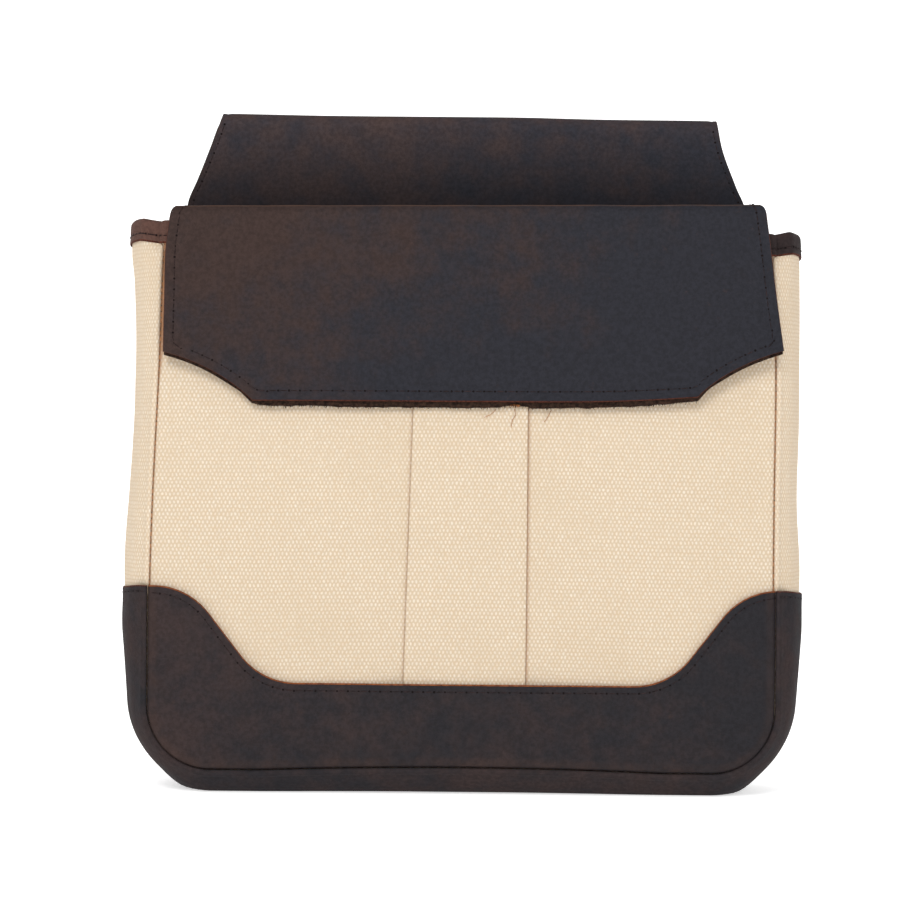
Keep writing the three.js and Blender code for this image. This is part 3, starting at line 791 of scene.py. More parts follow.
def cloth_across(z):
    """The cloth's way across the front at a level: place, lift, direction of its face and thickness."""
    left = band_left(z)
    radius = FOLD_PITCH / 2
    inner = left + UNDERLAP
    outer = left + radius + FOLD_CLOTH / 2
    start = -half_width("left", z)
    middle = (left + BAND_RIGHT) / 2
    panel = [start + step for step in EDGE_STEPS]
    panel += spaced(start + EDGE_STEPS[-1], left - FOLD_STEPS[0], COLUMNS["side"])[:-1]
    panel += [left - step for step in FOLD_STEPS]
    half = [(x, 0.0, 0.0, 1.0, CANVAS) for x in panel]
    half.append((left + FOLD_CLOTH / 2, 0.0, 0.0, 1.0, FOLD_CLOTH))
    for a in FOLD_ANGLES:
        place = (inner + radius * math.sin(a), radius * (1 - math.cos(a)))
        half.append((*place, -math.sin(a), math.cos(a), FOLD_CLOTH))
    for a in FOLD_ANGLES:
        place = (outer - radius * math.sin(a), radius * (3 - math.cos(a)))
        half.append((*place, -math.sin(a), -math.cos(a), FOLD_CLOTH))
    half += [(x, BAND_LIFT, 0.0, 1.0, FOLD_CLOTH) for x in spaced(outer, middle, COLUMNS["band"])[:-1]]
    stretch = (half_width("right", z) - BAND_RIGHT) / (half_width("left", z) + left)
    mirrored = []
    for x, lift, nx, nl, thick in half:
        other = BAND_RIGHT + (left - x) * stretch if x < left else left + BAND_RIGHT - x
        mirrored.append((other, lift, -nx, nl, thick))
    return half + [(middle, BAND_LIFT, 0.0, 1.0, FOLD_CLOTH)] + mirrored[::-1]


def corner_turn(radius, steps):
    """Distances in from an edge, for even steps round its corner."""
    return [radius * (1 - math.cos(math.pi / 2 * k / steps)) for k in range(steps + 1)]


def corner_levels(steps):
    return [SEAM_BASE + step for step in corner_turn(CORNER_RADIUS, steps)]


def front_tint(x, z, level, lift, within):
    """How much warm brown painted shade darkens the cloth in the seams' grooves and at the pleat's folds,
    most on the left seam beside the flap.
    """
    left_flap_shade = rise(SEAM_TINT["low"], SEAM_TINT["high"], z) if x < 0 else 0.0
    width = lerp(SEAM_TINT["narrow"], SEAM_TINT["wide"], left_flap_shade)
    seam = lerp(SEAM_TINT["thin"], SEAM_TINT["full"], left_flap_shade) * rise(width, SEAM_TINT["core"], within)
    if lift >= UNDER_BAND:
        return seam
    left = FOLD_TINT["left"] * rise(FOLD_TINT["width"], FOLD_TINT["core"], abs(x - band_left(level)))
    right = FOLD_TINT["right"] * rise(FOLD_TINT["width"], FOLD_TINT["core"], abs(x - BAND_RIGHT))
    return max(seam, left, right)


def front_panel():
    rows = []
    for level in corner_levels(LEVELS["front_corner"]) + spaced(CORNER_TOP, BACK_TOP, LEVELS["front"]):
        way = cloth_across(level)
        along = lengths([Vector((x, lift, 0.0)) for x, lift, nx, nl, thick in way])
        middle = along[len(way) // 2]
        row = []
        for run, (x, lift, nx, nl, thick) in zip(along, way):
            foot_shift = foot_z(x) - SEAM_BASE
            top_shift = mouth_z(x) - BINDING - GAP - BACK_TOP
            z = level + (1 - up_share(level)) ** 2 * foot_shift + up_share(level) ** 2 * top_shift
            within = seam_distance(x, z)
            turn = turned_in(within, CANVAS_TURN) * free_of_binding(level, BACK_TOP)
            uneven = soft("front", x, z) * rise(0.0, SOFT_REACH, within)
            y = front_y(x, level) - lift + pleat_press(x, level) + turn + uneven
            pair = [Vector((x + side * nx * thick / 2, y - side * nl * thick / 2, z)) for side in (1, -1)]
            row.append((*pair, (run - middle, level), front_tint(x, z, level, lift, within)))
        rows.append(row)
    return wall("front_panel_cloth", rows, [canvas] * 3)


def back_panel():
    rows = []
    for level in corner_levels(LEVELS["back_corner"]) + spaced(CORNER_TOP, BACK_TOP, LEVELS["back"]):
        row = []
        for x in edged(-half_width("left", level), half_width("right", level), EDGE_STEPS, COLUMNS["back"]):
            z = level + (1 - up_share(level)) ** 2 * (foot_z(x) - SEAM_BASE)
            within = seam_distance(x, z)
            turn = turned_in(within, CANVAS_TURN) * free_of_binding(level, BACK_TOP)
            low = rise(BACK_SOFT["none"], BACK_SOFT["full"], z)
            uneven = soft("back", x, z) * rise(0.0, SOFT_REACH, within) * low
            y = -FRONT_Y - turn + min(uneven, BACK_SOFT["most"])
            pair = [Vector((x, y + side * CANVAS / 2, z)) for side in (1, -1)]
            row.append((*pair, (x, level), 0.0))
        rows.append(row)
    return wall("back_panel_cloth", rows, [canvas] * 3)


# Strips round the seam


def seam_line(left_levels, right_levels, arc_steps, foot_steps):
    """The seam from the top of the left side round the foot to the top of the right side."""

    def side(sign, z):
        name = side_name(sign)
        swell = straight_width("swell_" + name, z)
        return dict(x=sign * half_width(name, z), z=z, nx=sign, nz=0.0, swell=swell, fullness=SIDE_FULLNESS)

    def corner(sign, angle):
        name = side_name(sign)
        share = angle / (math.pi / 2)
        swell = lerp(SIDES[0]["swell_" + name], FOOT_SWELL, share ** 3) - CORNER_TUCK * math.sin(2 * angle)
        nx = sign * math.cos(angle)
        nz = -math.sin(angle)
        x = sign * (SIDES[0][name] - CORNER_RADIUS) + CORNER_RADIUS * nx
        fullness = lerp(SIDE_FULLNESS, FOOT_FULLNESS, share ** 2)
        return dict(x=x, z=CORNER_TOP + CORNER_RADIUS * nz, nx=nx, nz=nz, swell=swell, fullness=fullness)

    angles = [math.pi / 2 * k / arc_steps for k in range(arc_steps + 1)]
    line = [side(-1, z) for z in left_levels]
    line += [corner(-1, angle) for angle in angles]
    for x in spaced(line[-1]["x"], corner(1, math.pi / 2)["x"], foot_steps)[:-1]:
        line.append(dict(x=x, z=foot_z(x), nx=0.0, nz=-1.0, swell=FOOT_SWELL, fullness=FOOT_FULLNESS))
    line += [corner(1, angle) for angle in angles[::-1]]
    line += [side(1, z) for z in right_levels[::-1]]
    return [dict(p, skived=0.0, drawn_in=0.0) for p in line]


def swell_at(y):
    return math.sin(math.pi * min(max((y - FRONT_Y) / DEPTH, 0.0), 1.0))


def above_floor(z, lowest):
    """A height that eases on to the surface that the bag stands on."""
    over = z - lowest
    return lowest + 0.5 * (over + math.sqrt(over * over + FLOOR_EASE * FLOOR_EASE))


def strip_profile(p, base, front, lips, lipped):
    """Outer face of a strip at one place of the seam: distance out from the seam, and depth. lipped is how
    far it is turned in at the front and at the back."""
    points = []
    for k, row in enumerate(lips[0]):
        plain = Vector((base, front + LIP_PLAIN["start"] + LIP_PLAIN["step"] * k))
        rolled = Vector((base + row["out"] - p["drawn_in"], front - row["ahead"]))
        points.append(plain.lerp(rolled, lipped[0]))
    for k in range(1, COLUMNS["strip"]):
        y = FRONT_Y + DEPTH * k / COLUMNS["strip"]
        points.append(Vector((base + (p["swell"] - p["skived"]) * swell_at(y) ** p["fullness"], y)))
    for k, row in reversed(list(enumerate(lips[1]))):
        plain = Vector((base, BACK_FACE - LIP_PLAIN["start"] - LIP_PLAIN["step"] * k))
        rolled = Vector((base + row["out"], BACK_FACE + row["ahead"]))
        points.append(plain.lerp(rolled, lipped[1]))
    return smooth_through(points, 3)


def nothing(*place):
    return 0.0


def strip(name, line, base, thickness, front, lips, lowest, lipped, finishes,
          drop=nothing, tint=nothing, rounding=None):
    rows = []
    run = lengths([Vector((p["x"], p["z"], 0.0)) for p in line])
    for i, p in enumerate(line):
        profile = strip_profile(p, base, front, lips, lipped(p))
        across = lengths([Vector((n, y, 0.0)) for n, y in profile])
        middle = across[len(across) // 2]
        row = []
        for k, (n, y) in enumerate(profile):
            before = profile[max(k - 1, 0)]
            after = profile[min(k + 1, len(profile) - 1)]
            along = (after - before).normalized()
            out = Vector((along.y, -along.x))
            full = rise(0.0, LIP_THIN["reach"], min(y - front, BACK_FACE - y))
            uneven = soft("strip", run[i], y) * swell_at(y)
            pair = []
            for inner in (0.0, (thickness - p["skived"]) * lerp(LIP_THIN["share"], 1.0, full)):
                far = n + uneven - out.x * inner
                z = p["z"] + p["nz"] * far - drop(i, run, y)
                z = above_floor(z, lowest + (thickness if inner else 0.0))
                pair.append(Vector((p["x"] + p["nx"] * far, y - out.y * inner, z)))
            row.append((*pair, (across[k] - middle, run[i]), tint(n - base, y)))
        rows.append(row)
    return wall(name, rows, finishes, rounding), rows


def downward(levels):
    return sorted(levels, reverse=True)


def gusset():
    def levels(mouth):
        return downward(spaced(CORNER_TOP, mouth - BINDING - GAP, LEVELS["gusset"]))

    def lipped(p):
        above_guard = rise(GUARD_OVERLAP["start"], GUARD_OVERLAP["end"], p["z"])
        return above_guard * free_of_binding(p["z"], MOUTH[side_name(p["x"])]), above_guard

    # Painted shade on the gusset's front lip, in the seam groove
    def tint(out, y):
        return LIP_TINT["share"] * rise(LIP_TINT["none"], LIP_TINT["full"], out) if y < 0 else 0.0

    sides = [levels(MOUTH["left"]), levels(MOUTH["right"])]
    line = seam_line(*sides, CORNER_STEPS["gusset"], FOOT_STEPS["gusset"])
    lips = (CANVAS_LIP, CANVAS_LIP)
    piece, rows = strip("gusset_cloth", line, GAP + CANVAS, CANVAS, FRONT_FACE, lips, LEATHER + GAP, lipped,
                        [smooth_canvas, canvas, canvas], tint=tint)
    return piece


def gusset_guard():
    near = [PATCH_TIP - step for step in STITCH_STEPS]
    levels = near + downward(spaced(CORNER_TOP, near[-1], LEVELS["guard"]))[1:]
    line = seam_line(levels, levels, CORNER_STEPS["guard"], FOOT_STEPS["guard"])
    for p in line:
        near_top = rise(PATCH_TIP - GUARD_SKIVE["reach"], PATCH_TIP, p["z"])
        p["skived"] = GUARD_SKIVE[side_name(p["x"])] * near_top
        p["drawn_in"] = (PATCH_BELOW - PATCH_BESIDE) * abs(p["nx"])

    def drop(i, run, y):
        near_end = min(run[i], run[-1] - run[i])
        return GUARD_DIP * swell_at(y) * rise(GUARD_DIP_REACH, 0.0, near_end)

    lips = (GUARD_LIP, GUARD_BACK_LIP)
    front = FRONT_FACE - GAP - LEATHER
    finishes = [guard_leather, flesh, dark_shaded_edge]
    return strip("gusset_guard_leather", line, PATCH_BELOW + GAP + LEATHER, LEATHER, front, lips, 0.0,
                 lambda p: (1.0, 1.0), finishes, drop, rounding=(0.0005, 0.0005, 0.0, 0.0002))


# Base patch


def patch_top(x):
    """The S-curve of the patch's top edge: an arc out of the seam, a slope, and an arc into the middle."""
    along = min(max(abs(x) - CURVE_MIDDLE[side_name(x)], -CURVE_HALF), CURVE_HALF)

    def arc(reach):
        return CURVE_RADIUS - math.sqrt(CURVE_RADIUS ** 2 - reach ** 2)

    half = (PATCH_TIP - PATCH_FLAT) / 2
    slope_start = CURVE_HALF - CURVE_RADIUS * math.sin(CURVE_SLOPE)
    if abs(along) < slope_start:
        height = (half - arc(CURVE_HALF - slope_start)) * abs(along) / slope_start
    else:
        height = half - arc(CURVE_HALF - abs(along))
    return (PATCH_TIP + PATCH_FLAT) / 2 + math.copysign(height, along)


def patch_slope(x):
    step = 0.0005
    return (patch_top(x + step) - patch_top(x - step)) / (2 * step)


def patch_lean(x):
    """Cosine of the top edge's slope."""
    return 1 / math.hypot(1, patch_slope(x))


def patch_foot(x):
    edge = SIDES[0][side_name(x)] + PATCH_BESIDE
    radius = CORNER_RADIUS + PATCH_BESIDE
    reach = max(0.0, abs(x) - (edge - radius))
    return foot_z(x) - PATCH_BELOW + radius - math.sqrt(max(0.0, radius ** 2 - reach ** 2))


def patch_point(x, z, inner=0.0):
    left = rise(PATCH_EASE["left_start"], PATCH_EASE["left_end"], x)
    over_pleat = left * rise(PATCH_EASE["right_start"], PATCH_EASE["right_end"], x)
    stand = max(BAND_LIFT * (1 - pressed(z)) - (CANVAS - FOLD_CLOTH) / 2, 0.0) * over_pleat
    within = patch_distance(x, z)
    uneven = soft("patch", x, z) * rise(0.0, SOFT_REACH, within)
    face = front_y(x, z) - CANVAS / 2 - GAP - LEATHER - stand + turned_in(within, PATCH_TURN) + uneven
    sewn = channel((patch_top(x) - z) * patch_lean(x), PATCH_STITCH_IN)
    return Vector((x, face + inner + (sewn if not inner else 0.0), z))


def base_patch():
    start = -SIDES[0]["left"] - PATCH_BESIDE
    end = SIDES[0]["right"] + PATCH_BESIDE
    turn = corner_turn(CORNER_RADIUS + PATCH_BESIDE, CORNER_STEPS["patch"])
    rows = []
    for x in edged(start, end, turn, COLUMNS["patch"]):
        down = [patch_top(x) - step / patch_lean(x) for step in STITCH_STEPS]
        up = [patch_foot(x) + step for step in EDGE_STEPS]
        row = []
        for z in down + spaced(down[-1], up[-1], LEVELS["patch"])[:-1] + up[::-1]:
            worn = PATCH_WEAR["share"] * rise(PATCH_WEAR["none"], PATCH_WEAR["full"], patch_distance(x, z))
            row.append((patch_point(x, z), patch_point(x, z, LEATHER), (x, z), worn))
        rows.append(row)
    return wall("base_patch_leather", rows, [patch_leather, flesh, raw_edge], (0.0, 0.0, 0.0005, 0.0))


# Mouth binding


def mouth_line(below):
    """The walls under the binding in plan, at a depth below the mouth, with what the slot takes in."""

    def gusset_places(sign):
        """The middle of the gusset's cloth, from the front to the back."""
        name = side_name(sign)
        mouth = MOUTH[name]
        swell = straight_width("swell_" + name, mouth - below)
        p = dict(swell=swell, fullness=SIDE_FULLNESS, skived=0.0, drawn_in=0.0)
        profile = strip_profile(p, GAP + CANVAS, FRONT_FACE, (CANVAS_LIP, CANVAS_LIP), (0.0, 1.0))
        places = []
        for k in range(*BOUND_PLACES):
            along = (profile[k + 1] - profile[k - 1]).normalized()
            x = straight_width(name, mouth - below) + profile[k].x - along.y * CANVAS / 2
            y = profile[k].y + along.x * CANVAS / 2
            swelled = max(profile[k].x - GAP - CANVAS, 0.0) / swell
            top = mouth + MOUTH_RISE["height"] * min(swelled / MOUTH_RISE["full"], 1.0)
            z = top - below * (1 + BINDING_DROOP * swell_at(y) ** 4)
            places.append(dict(x=sign * x, y=y, z=z, inside=CANVAS / 2))
        return places

    def front_place(x):
        inside = CANVAS / 2 + BAND_LIFT * band_share(x, BACK_TOP)
        return dict(x=x, y=FRONT_Y, z=mouth_z(x) - below, inside=inside)

    def corner_places(sign, edge):
        """The bend from a side on to the front."""
        places = []
        for k in range(CORNER_STEPS["binding"] + 1):
            angle = math.pi / 2 * k / CORNER_STEPS["binding"]
            place = front_place(edge - sign * BINDING_TURN * (1 - math.cos(angle)))
            y = FRONT_Y + BINDING_TURN * (1 - math.sin(angle))
            places.append(dict(place, y=y, z=MOUTH[side_name(sign)] - below))
        return places

    left_side = gusset_places(-1)
    right_side = gusset_places(1)
    left = left_side[0]["x"]
    right = right_side[0]["x"]
    line = left_side[::-1] + corner_places(-1, left)
    across = spaced(left + BINDING_TURN, right - BINDING_TURN, COLUMNS["mouth"])[:-1]
    line += [front_place(x) for x in across]
    line += corner_places(1, right)[::-1] + right_side
    made = []
    for i, p in enumerate(line):
        before = line[max(i - 1, 0)]
        after = line[min(i + 1, len(line) - 1)]
        out = Vector((after["y"] - before["y"], before["x"] - after["x"], 0.0)).normalized()
        made.append((Vector((p["x"], p["y"], p["z"])), out, p["inside"]))
    return made


def mouth_binding():
    stitched = BINDING_LEG - BINDING_STITCH_IN
    legs = [(BINDING_LEG - step, mouth_line(BINDING_LEG - step)) for step in BINDING_STEPS]
    crown = mouth_line(BINDING_CROWN)
    near = CANVAS / 2 + BINDING_GAP
    rows = []
    stitches = []
    run = 0.0
    for i, (middle, out, inside) in enumerate(crown):
        if i:
            run += (middle - crown[i - 1][0]).length
        far = -inside - GAP
        row = []
        for depth, leg in legs:
            place, way = leg[i][:2]
            sewn = channel(BINDING_LEG - depth, BINDING_STITCH_IN)
            row.append((place + way * (near + BINDING - sewn), place + way * near))
            if depth == stitched:
                stitches.append((place + way * (near + BINDING), way.copy()))
        centre = middle + out * (near + far) / 2
        inner = (near - far) / 2
        outer = inner + BINDING
        for k in range(COLUMNS["crown"] + 1):
            angle = math.pi * k / COLUMNS["crown"]
            over = Vector((0.0, 0.0, (BINDING_CROWN + soft("binding", run, 0.0)) * math.sin(angle)))
            under = Vector((0.0, 0.0, (BINDING_CROWN - BINDING) * math.sin(angle)))
            face = centre + out * outer * math.cos(angle) + over
            row.append((face, centre + out * inner * math.cos(angle) + under))
        for depth, leg in legs[::-1]:
            place, way = leg[i][:2]
            row.append((place + way * (far - BINDING), place + way * far))
        heights = lengths([face for face, back in row])
        top = heights[len(row) // 2]
        spots = []
        for pair, height in zip(row, heights):
            worn = BINDING_WEAR["share"] * rise(BINDING_WEAR["reach"], 0.0, abs(height - top))
            spots.append((*pair, (run, height), worn))
        rows.append(spots)
    finishes = [binding_leather, flesh, dark_shaded_edge]
    return wall("mouth_binding_leather", rows, finishes, (0.0003, 0.0003, 0.0007, 0.0003)), stitches


# Draped leather


class SideWay:
    """A way through the side view, made of straight runs and bends, followed on the outer face."""

    def __init__(self, start, heading, runs):
        self.parts = []
        self.stations = [0.0]
        point = Vector(start)
        run_from = 0.0
        for run in runs:
            part = dict(run, point=point, heading=heading, start=run_from)
            self.parts.append(part)
            point, heading = self.follow(part, run["length"])
            self.stations += spaced(run_from, run_from + run["length"], run["steps"])
            run_from += run["length"]
        self.length = run_from

    @staticmethod
    def inward(heading):
        return Vector((math.cos(heading), -math.sin(heading)))

    def follow(self, part, s):
        heading = part["heading"]
        if not part["radius"]:
            return part["point"] + Vector((math.sin(heading), math.cos(heading))) * s, heading
        sign = math.copysign(1.0, part["turn"])
        turned = heading + sign * s / part["radius"]
        centre = part["point"] + self.inward(heading) * sign * part["radius"]
        return centre - self.inward(turned) * sign * part["radius"], turned

    def at(self, s):
        """Place on the outer face, and the direction into the bag."""
        part = next((p for p in reversed(self.parts) if s >= p["start"]), self.parts[0])
        place, heading = self.follow(part, s - part["start"])
        return place, self.inward(heading)


flap_way = SideWay(FLAP_START, FLAP_LEAN, FLAP_RUN)
loop_way = SideWay(LOOP_START, LOOP_LEAN, LOOP_RUN)


def scoop(side):
    """Centre and radius of the arc that is cut out of the flap's corner."""
    corner = Vector((FLAP_EDGES[0][side], 0.0))
    tip = Vector((FLAP_EDGES[1][side], SCOOP_RISE))
    chord = tip - corner
    radius = chord.length_squared / (8 * SCOOP_SAG) + SCOOP_SAG / 2
    away = Vector((chord.y, -chord.x)).normalized() * (radius - SCOOP_SAG)
    return (corner + tip) / 2 + away, radius


def flap_side(side, s):
    return read(FLAP_EDGES[1:], "run", s, side)


def flap_edge(side, s, inset=0.0):
    """Half width of the flap at a place along its run, or of a line that far inside its outline."""
    centre, radius = scoop(side)
    plain = flap_side(side, s) - inset
    reach = (radius + inset) ** 2 - (s - centre.y) ** 2
    if s > SCOOP_RISE + SCOOP_MARGIN or reach <= 0:
        return plain
    return min(plain, centre.x - math.sqrt(reach))


def flap_distance(x, s):
    """How far a place on the flap lies from its cut edge."""
    side = side_name(x)
    centre, radius = scoop(side)
    to_scoop = math.hypot(abs(x) - centre.x, s - centre.y) - radius
    return min(flap_side(side, s) - abs(x), to_scoop if s < centre.y + radius else 1.0, max(s, 0.0))


def flap_place(x, s, depth=0.0, sewn=True):
    place, inside = flap_way.at(s)
    y = place.x + inside.x * depth
    z = place.y + inside.y * depth
    flare = rise(FLAP_FLARE["start"], FLAP_FLARE["end"], abs(x)) * rise(FLAP_FLARE["fade"], 0.0, s)
    y -= FLAP_FLARE[side_name(x)] * flare
    z += FLAP_TILT["slope"] * x * rise(FLAP_TILT["none"], FLAP_TILT["full"], s)
    z += read(FLAP_HEM, "x", x, "lift") * rise(SCOOP_RISE, 0.0, s)
    uneven = soft("flap", x, s) * rise(FLAP_SOFT["none"], FLAP_SOFT["full"], s) + soft("flap_fine", x, s)
    pull = channel(flap_distance(x, s), FLAP_STITCH_IN) if sewn and s < FLAP_CHANNEL_END else 0.0
    inset = inside * (uneven + pull)
    return Vector((x, y + inset.x, z + inset.y))


def loop_edge(side, s):
    return read(LOOP_EDGES, "run", s, side)


def loop_place(x, s, depth=0.0, sewn=True):
    place, inside = loop_way.at(s)
    tilt = rise(LOOP_TILT["start"], LOOP_TILT["full"], s) * rise(LOOP_TILT["end"], LOOP_TILT["still"], s)
    pull = channel(loop_edge(side_name(x), s) - abs(x), LOOP_STITCH_IN) if sewn else 0.0
    uneven = soft("loop", x, s) * rise(0.0, SOFT_REACH, s) + pull
    inset = inside * (uneven + depth)
    return Vector((x, place.x + inset.x, place.y + inset.y + LOOP_TILT["slope"] * x * tilt))


def draped(name, place, stations, edges, depth, thickness, finishes, worn, rounding, columns):
    near_edge = STITCH_STEPS + [s for s in stations if s > STITCH_STEPS[-1] + STEP_MARGIN]
    rows = []
    for s in near_edge:
        across = edged(-edges("left", s), edges("right", s), STITCH_STEPS, columns)
        row = []
        for x in across:
            back = place(x, s, depth + thickness, False)
            row.append((place(x, s, depth), back, (x, s), worn(x, s)))
        rows.append(row)
    return wall(name, rows, finishes, rounding)


def flap():
    def worn(x, s):
        return rise(FLAP_WEAR["none"], FLAP_WEAR["full"], abs(s - FLAP_CREST))

    return draped("flap_leather", flap_place, flap_way.stations, flap_edge, 0.0, FLAP_LEATHER,
                  [flap_leather, flesh, dark_shaded_edge], worn, (0.0005, 0.0003, 0.0003, 0.0003), COLUMNS["flap"])


def lining_edge(side, s):
    proud = SCOOP_PROUD[side] * rise(SCOOP_BARE["start"], SCOOP_BARE["end"], s)
    return min(flap_edge(side, s, -proud), flap_side(side, s) - LINING_IN)


def lining_proud(x):
    """How far the lining hangs out below the flap, less where its fibres have pulled away."""
    pulled = rise(LINING_PULLED["start"], LINING_PULLED["full"], x)
    pulled *= rise(LINING_PULLED["end"], LINING_PULLED["still"], x)
    hang = read(LINING_HANG, "x", x, "proud")
    return hang * lerp(1.0, LINING_PULLED["left"], pulled) * (LINING_EVEN + soft("lining", x, 0.0))


def flap_lining():
    def place(x, s, depth, sewn=True):
        return flap_place(x, s - lining_proud(x) * rise(LINING_HEM, 0.0, s), depth, False)

    # The lining's face and cut edge use the dark suede with painted shade
    return draped("flap_lining_suede", place, flap_way.stations, lining_edge, FLAP_LEATHER + LINING_GAP,
                  LINING, [shaded_dark_suede, suede, shaded_dark_suede], nothing, [0.0003] * 4, COLUMNS["flap"])


def belt_loop():
    fold = LOOP_RUN[1]
    crest = LOOP_RUN[0]["length"] + fold["radius"] * fold["turn"] / 2

    def worn(x, s):
        edge = loop_edge(side_name(x), s) - abs(x)
        at_crest = rise(LOOP_WEAR["crest_none"], LOOP_WEAR["crest_full"], abs(s - crest))
        at_edge = rise(LOOP_WEAR["edge_none"], LOOP_WEAR["edge_full"], edge)
        return LOOP_WEAR["share"] * max(at_crest, at_edge)

    return draped("belt_loop_leather", loop_place, loop_way.stations, loop_edge, 0.0, LOOP_LEATHER,
                  [loop_leather, flesh, black_edge], worn, [0.0003] * 4, COLUMNS["loop"])


# Sewing and fibres, laid along paths


def group(name, sizes, materials):
    """A node tree with named inputs for sizes and materials, its inputs, and the curve that it is given."""
    tree = bpy.data.node_groups.new(name, "GeometryNodeTree")
    sockets = [("Geometry", "Geometry")] + [(size, "Float") for size in sizes]
    for label, kind in sockets + [(material, "Material") for material in materials]:
        tree.interface.new_socket(name=label, in_out="INPUT", socket_type="NodeSocket" + kind)
    tree.interface.new_socket(name="Geometry", in_out="OUTPUT", socket_type="NodeSocketGeometry")
    given = node(tree, "NodeGroupInput").outputs
    return tree, given, node(tree, "GeometryNodeMeshToCurve", {"Mesh": given["Geometry"]}).outputs["Curve"]


def vector_of(tree, x=0.0, y=0.0, z=0.0):
    return node(tree, "ShaderNodeCombineXYZ", {"X": x, "Y": y, "Z": z}).outputs[0]


def seated(tree):
    """Rotations along a curve: X along it, Z out of the surface that it lies on."""
    out = node(tree, "GeometryNodeInputNamedAttribute", {"Name": "out"}, data_type="FLOAT_VECTOR")
    upright = node(tree, "FunctionNodeAlignRotationToVector", {"Vector": out.outputs["Attribute"]}, axis="Z")
    inputs = {"Rotation": upright.outputs[0], "Vector": node(tree, "GeometryNodeInputTangent").outputs[0]}
    return node(tree, "FunctionNodeAlignRotationToVector", inputs, axis="X", pivot_axis="Z").outputs[0]


def bow(tree, resolution, start, middle, end):
    inputs = {"Resolution": resolution, "Start": start, "Middle": middle, "End": end}
    return node(tree, "GeometryNodeCurveQuadraticBezier", inputs).outputs["Curve"]


def tube(tree, curve, sides, radius, capped):
    ring = node(tree, "GeometryNodeCurvePrimitiveCircle", {"Resolution": sides, "Radius": radius})
    inputs = {"Curve": curve, "Profile Curve": ring.outputs["Curve"], "Fill Caps": capped}
    return node(tree, "GeometryNodeCurveToMesh", inputs).outputs[0]


def laid_along(tree, curve, spacing, shape, turned, scale):
    even = node(tree, "GeometryNodeResampleCurve", {"Curve": curve, "Length": spacing}, mode="LENGTH")
    inputs = {"Points": even.outputs[0], "Instance": shape, "Rotation": turned, "Scale": scale}
    return node(tree, "GeometryNodeInstanceOnPoints", inputs).outputs[0]


def random_size(tree, sizes, seed):
    inputs = {2: sizes[0], 3: sizes[1], "Seed": seed}
    return node(tree, "FunctionNodeRandomValue", inputs, data_type="FLOAT").outputs[1]


def in_material(tree, geometry, material):
    real = node(tree, "GeometryNodeRealizeInstances", {"Geometry": geometry}).outputs[0]
    return node(tree, "GeometryNodeSetMaterial", {"Geometry": real, "Material": material}).outputs[0]


def stitch_tree():
    tree, given, curve = group("running_stitch", list(STITCH), ["Thread", "Hole"])
    half = times(tree, given["Length"], 0.5)
    sunk = times(tree, given["Radius"], STITCH_BOW["sunk"])
    proud = times(tree, given["Radius"], STITCH_BOW["proud"])
    start = vector_of(tree, times(tree, half, -1.0), 0.0, sunk)
    bowed = bow(tree, 5, start, vector_of(tree, 0.0, 0.0, proud), vector_of(tree, half, 0.0, sunk))
    thread = tube(tree, bowed, 6, given["Radius"], False)
    # A dark disc beside each stitch, painted shade for its needle hole
    round_hole = {"Vertices": 8, "Radius": given["Hole Radius"]}
    disc = node(tree, "GeometryNodeMeshCircle", round_hole, fill_type="NGON").outputs["Mesh"]
    beside = vector_of(tree, times(tree, given["Pitch"], 0.5), 0.0, HOLE_STAND)
    hole = node(tree, "GeometryNodeTransform", {"Geometry": disc, "Translation": beside}).outputs[0]
    mark = {"Geometry": hole, "Name": "pierced", "Value": True}
    marked = node(tree, "GeometryNodeStoreNamedAttribute", mark, data_type="BOOLEAN", domain="FACE")
    both = node(tree, "GeometryNodeJoinGeometry")
    tree.links.new(thread, both.inputs[0])
    tree.links.new(marked.outputs[0], both.inputs[0])
    size = vector_of(tree, 1.0, random_size(tree, STITCH_SIZES, 7), 1.0)
    laid = laid_along(tree, curve, given["Pitch"], both.outputs[0], seated(tree), size)
    pierced = node(tree, "GeometryNodeInputNamedAttribute", {"Name": "pierced"}, data_type="BOOLEAN")
    sewn = in_material(tree, laid, given["Thread"])
    holes = {"Geometry": sewn, "Selection": pierced.outputs[0], "Material": given["Hole"]}
    holed = node(tree, "GeometryNodeSetMaterial", holes)
    node(tree, "NodeGroupOutput", {"Geometry": holed.outputs[0]})
    return tree


def thread_tree():
    tree, given, curve = group("laid_thread", ["Radius"], ["Thread"])
    laid = tube(tree, curve, 6, given["Radius"], True)
    node(tree, "NodeGroupOutput", {"Geometry": in_material(tree, laid, given["Thread"])})
    return tree


def fuzz_tree():
    tree, given, curve = group("suede_fuzz", list(FUZZ), ["Fibre"])
    middle = vector_of(tree, 0.0, 0.0, times(tree, given["Length"], 0.6))
    end = vector_of(tree, times(tree, given["Length"], 0.5), 0.0, given["Length"])
    hair = tube(tree, bow(tree, 4, (0.0, 0.0, 0.0), middle, end), 3, given["Radius"], True)
    range_of_sway = {0: -FUZZ_SWAY, 1: FUZZ_SWAY, "Seed": 11}
    sway = node(tree, "FunctionNodeRandomValue", range_of_sway, data_type="FLOAT_VECTOR").outputs[0]
    leaning = node(tree, "FunctionNodeEulerToRotation", {0: sway}).outputs[0]
    inputs = {"Rotation": seated(tree), "Rotate By": leaning}
    turned = node(tree, "FunctionNodeRotateRotation", inputs, rotation_space="LOCAL").outputs[0]
    size = random_size(tree, FUZZ_SIZES, 29)
    laid = laid_along(tree, curve, given["Spacing"], hair, turned, vector_of(tree, size, size, size))
    node(tree, "NodeGroupOutput", {"Geometry": in_material(tree, laid, given["Fibre"])})
    return tree


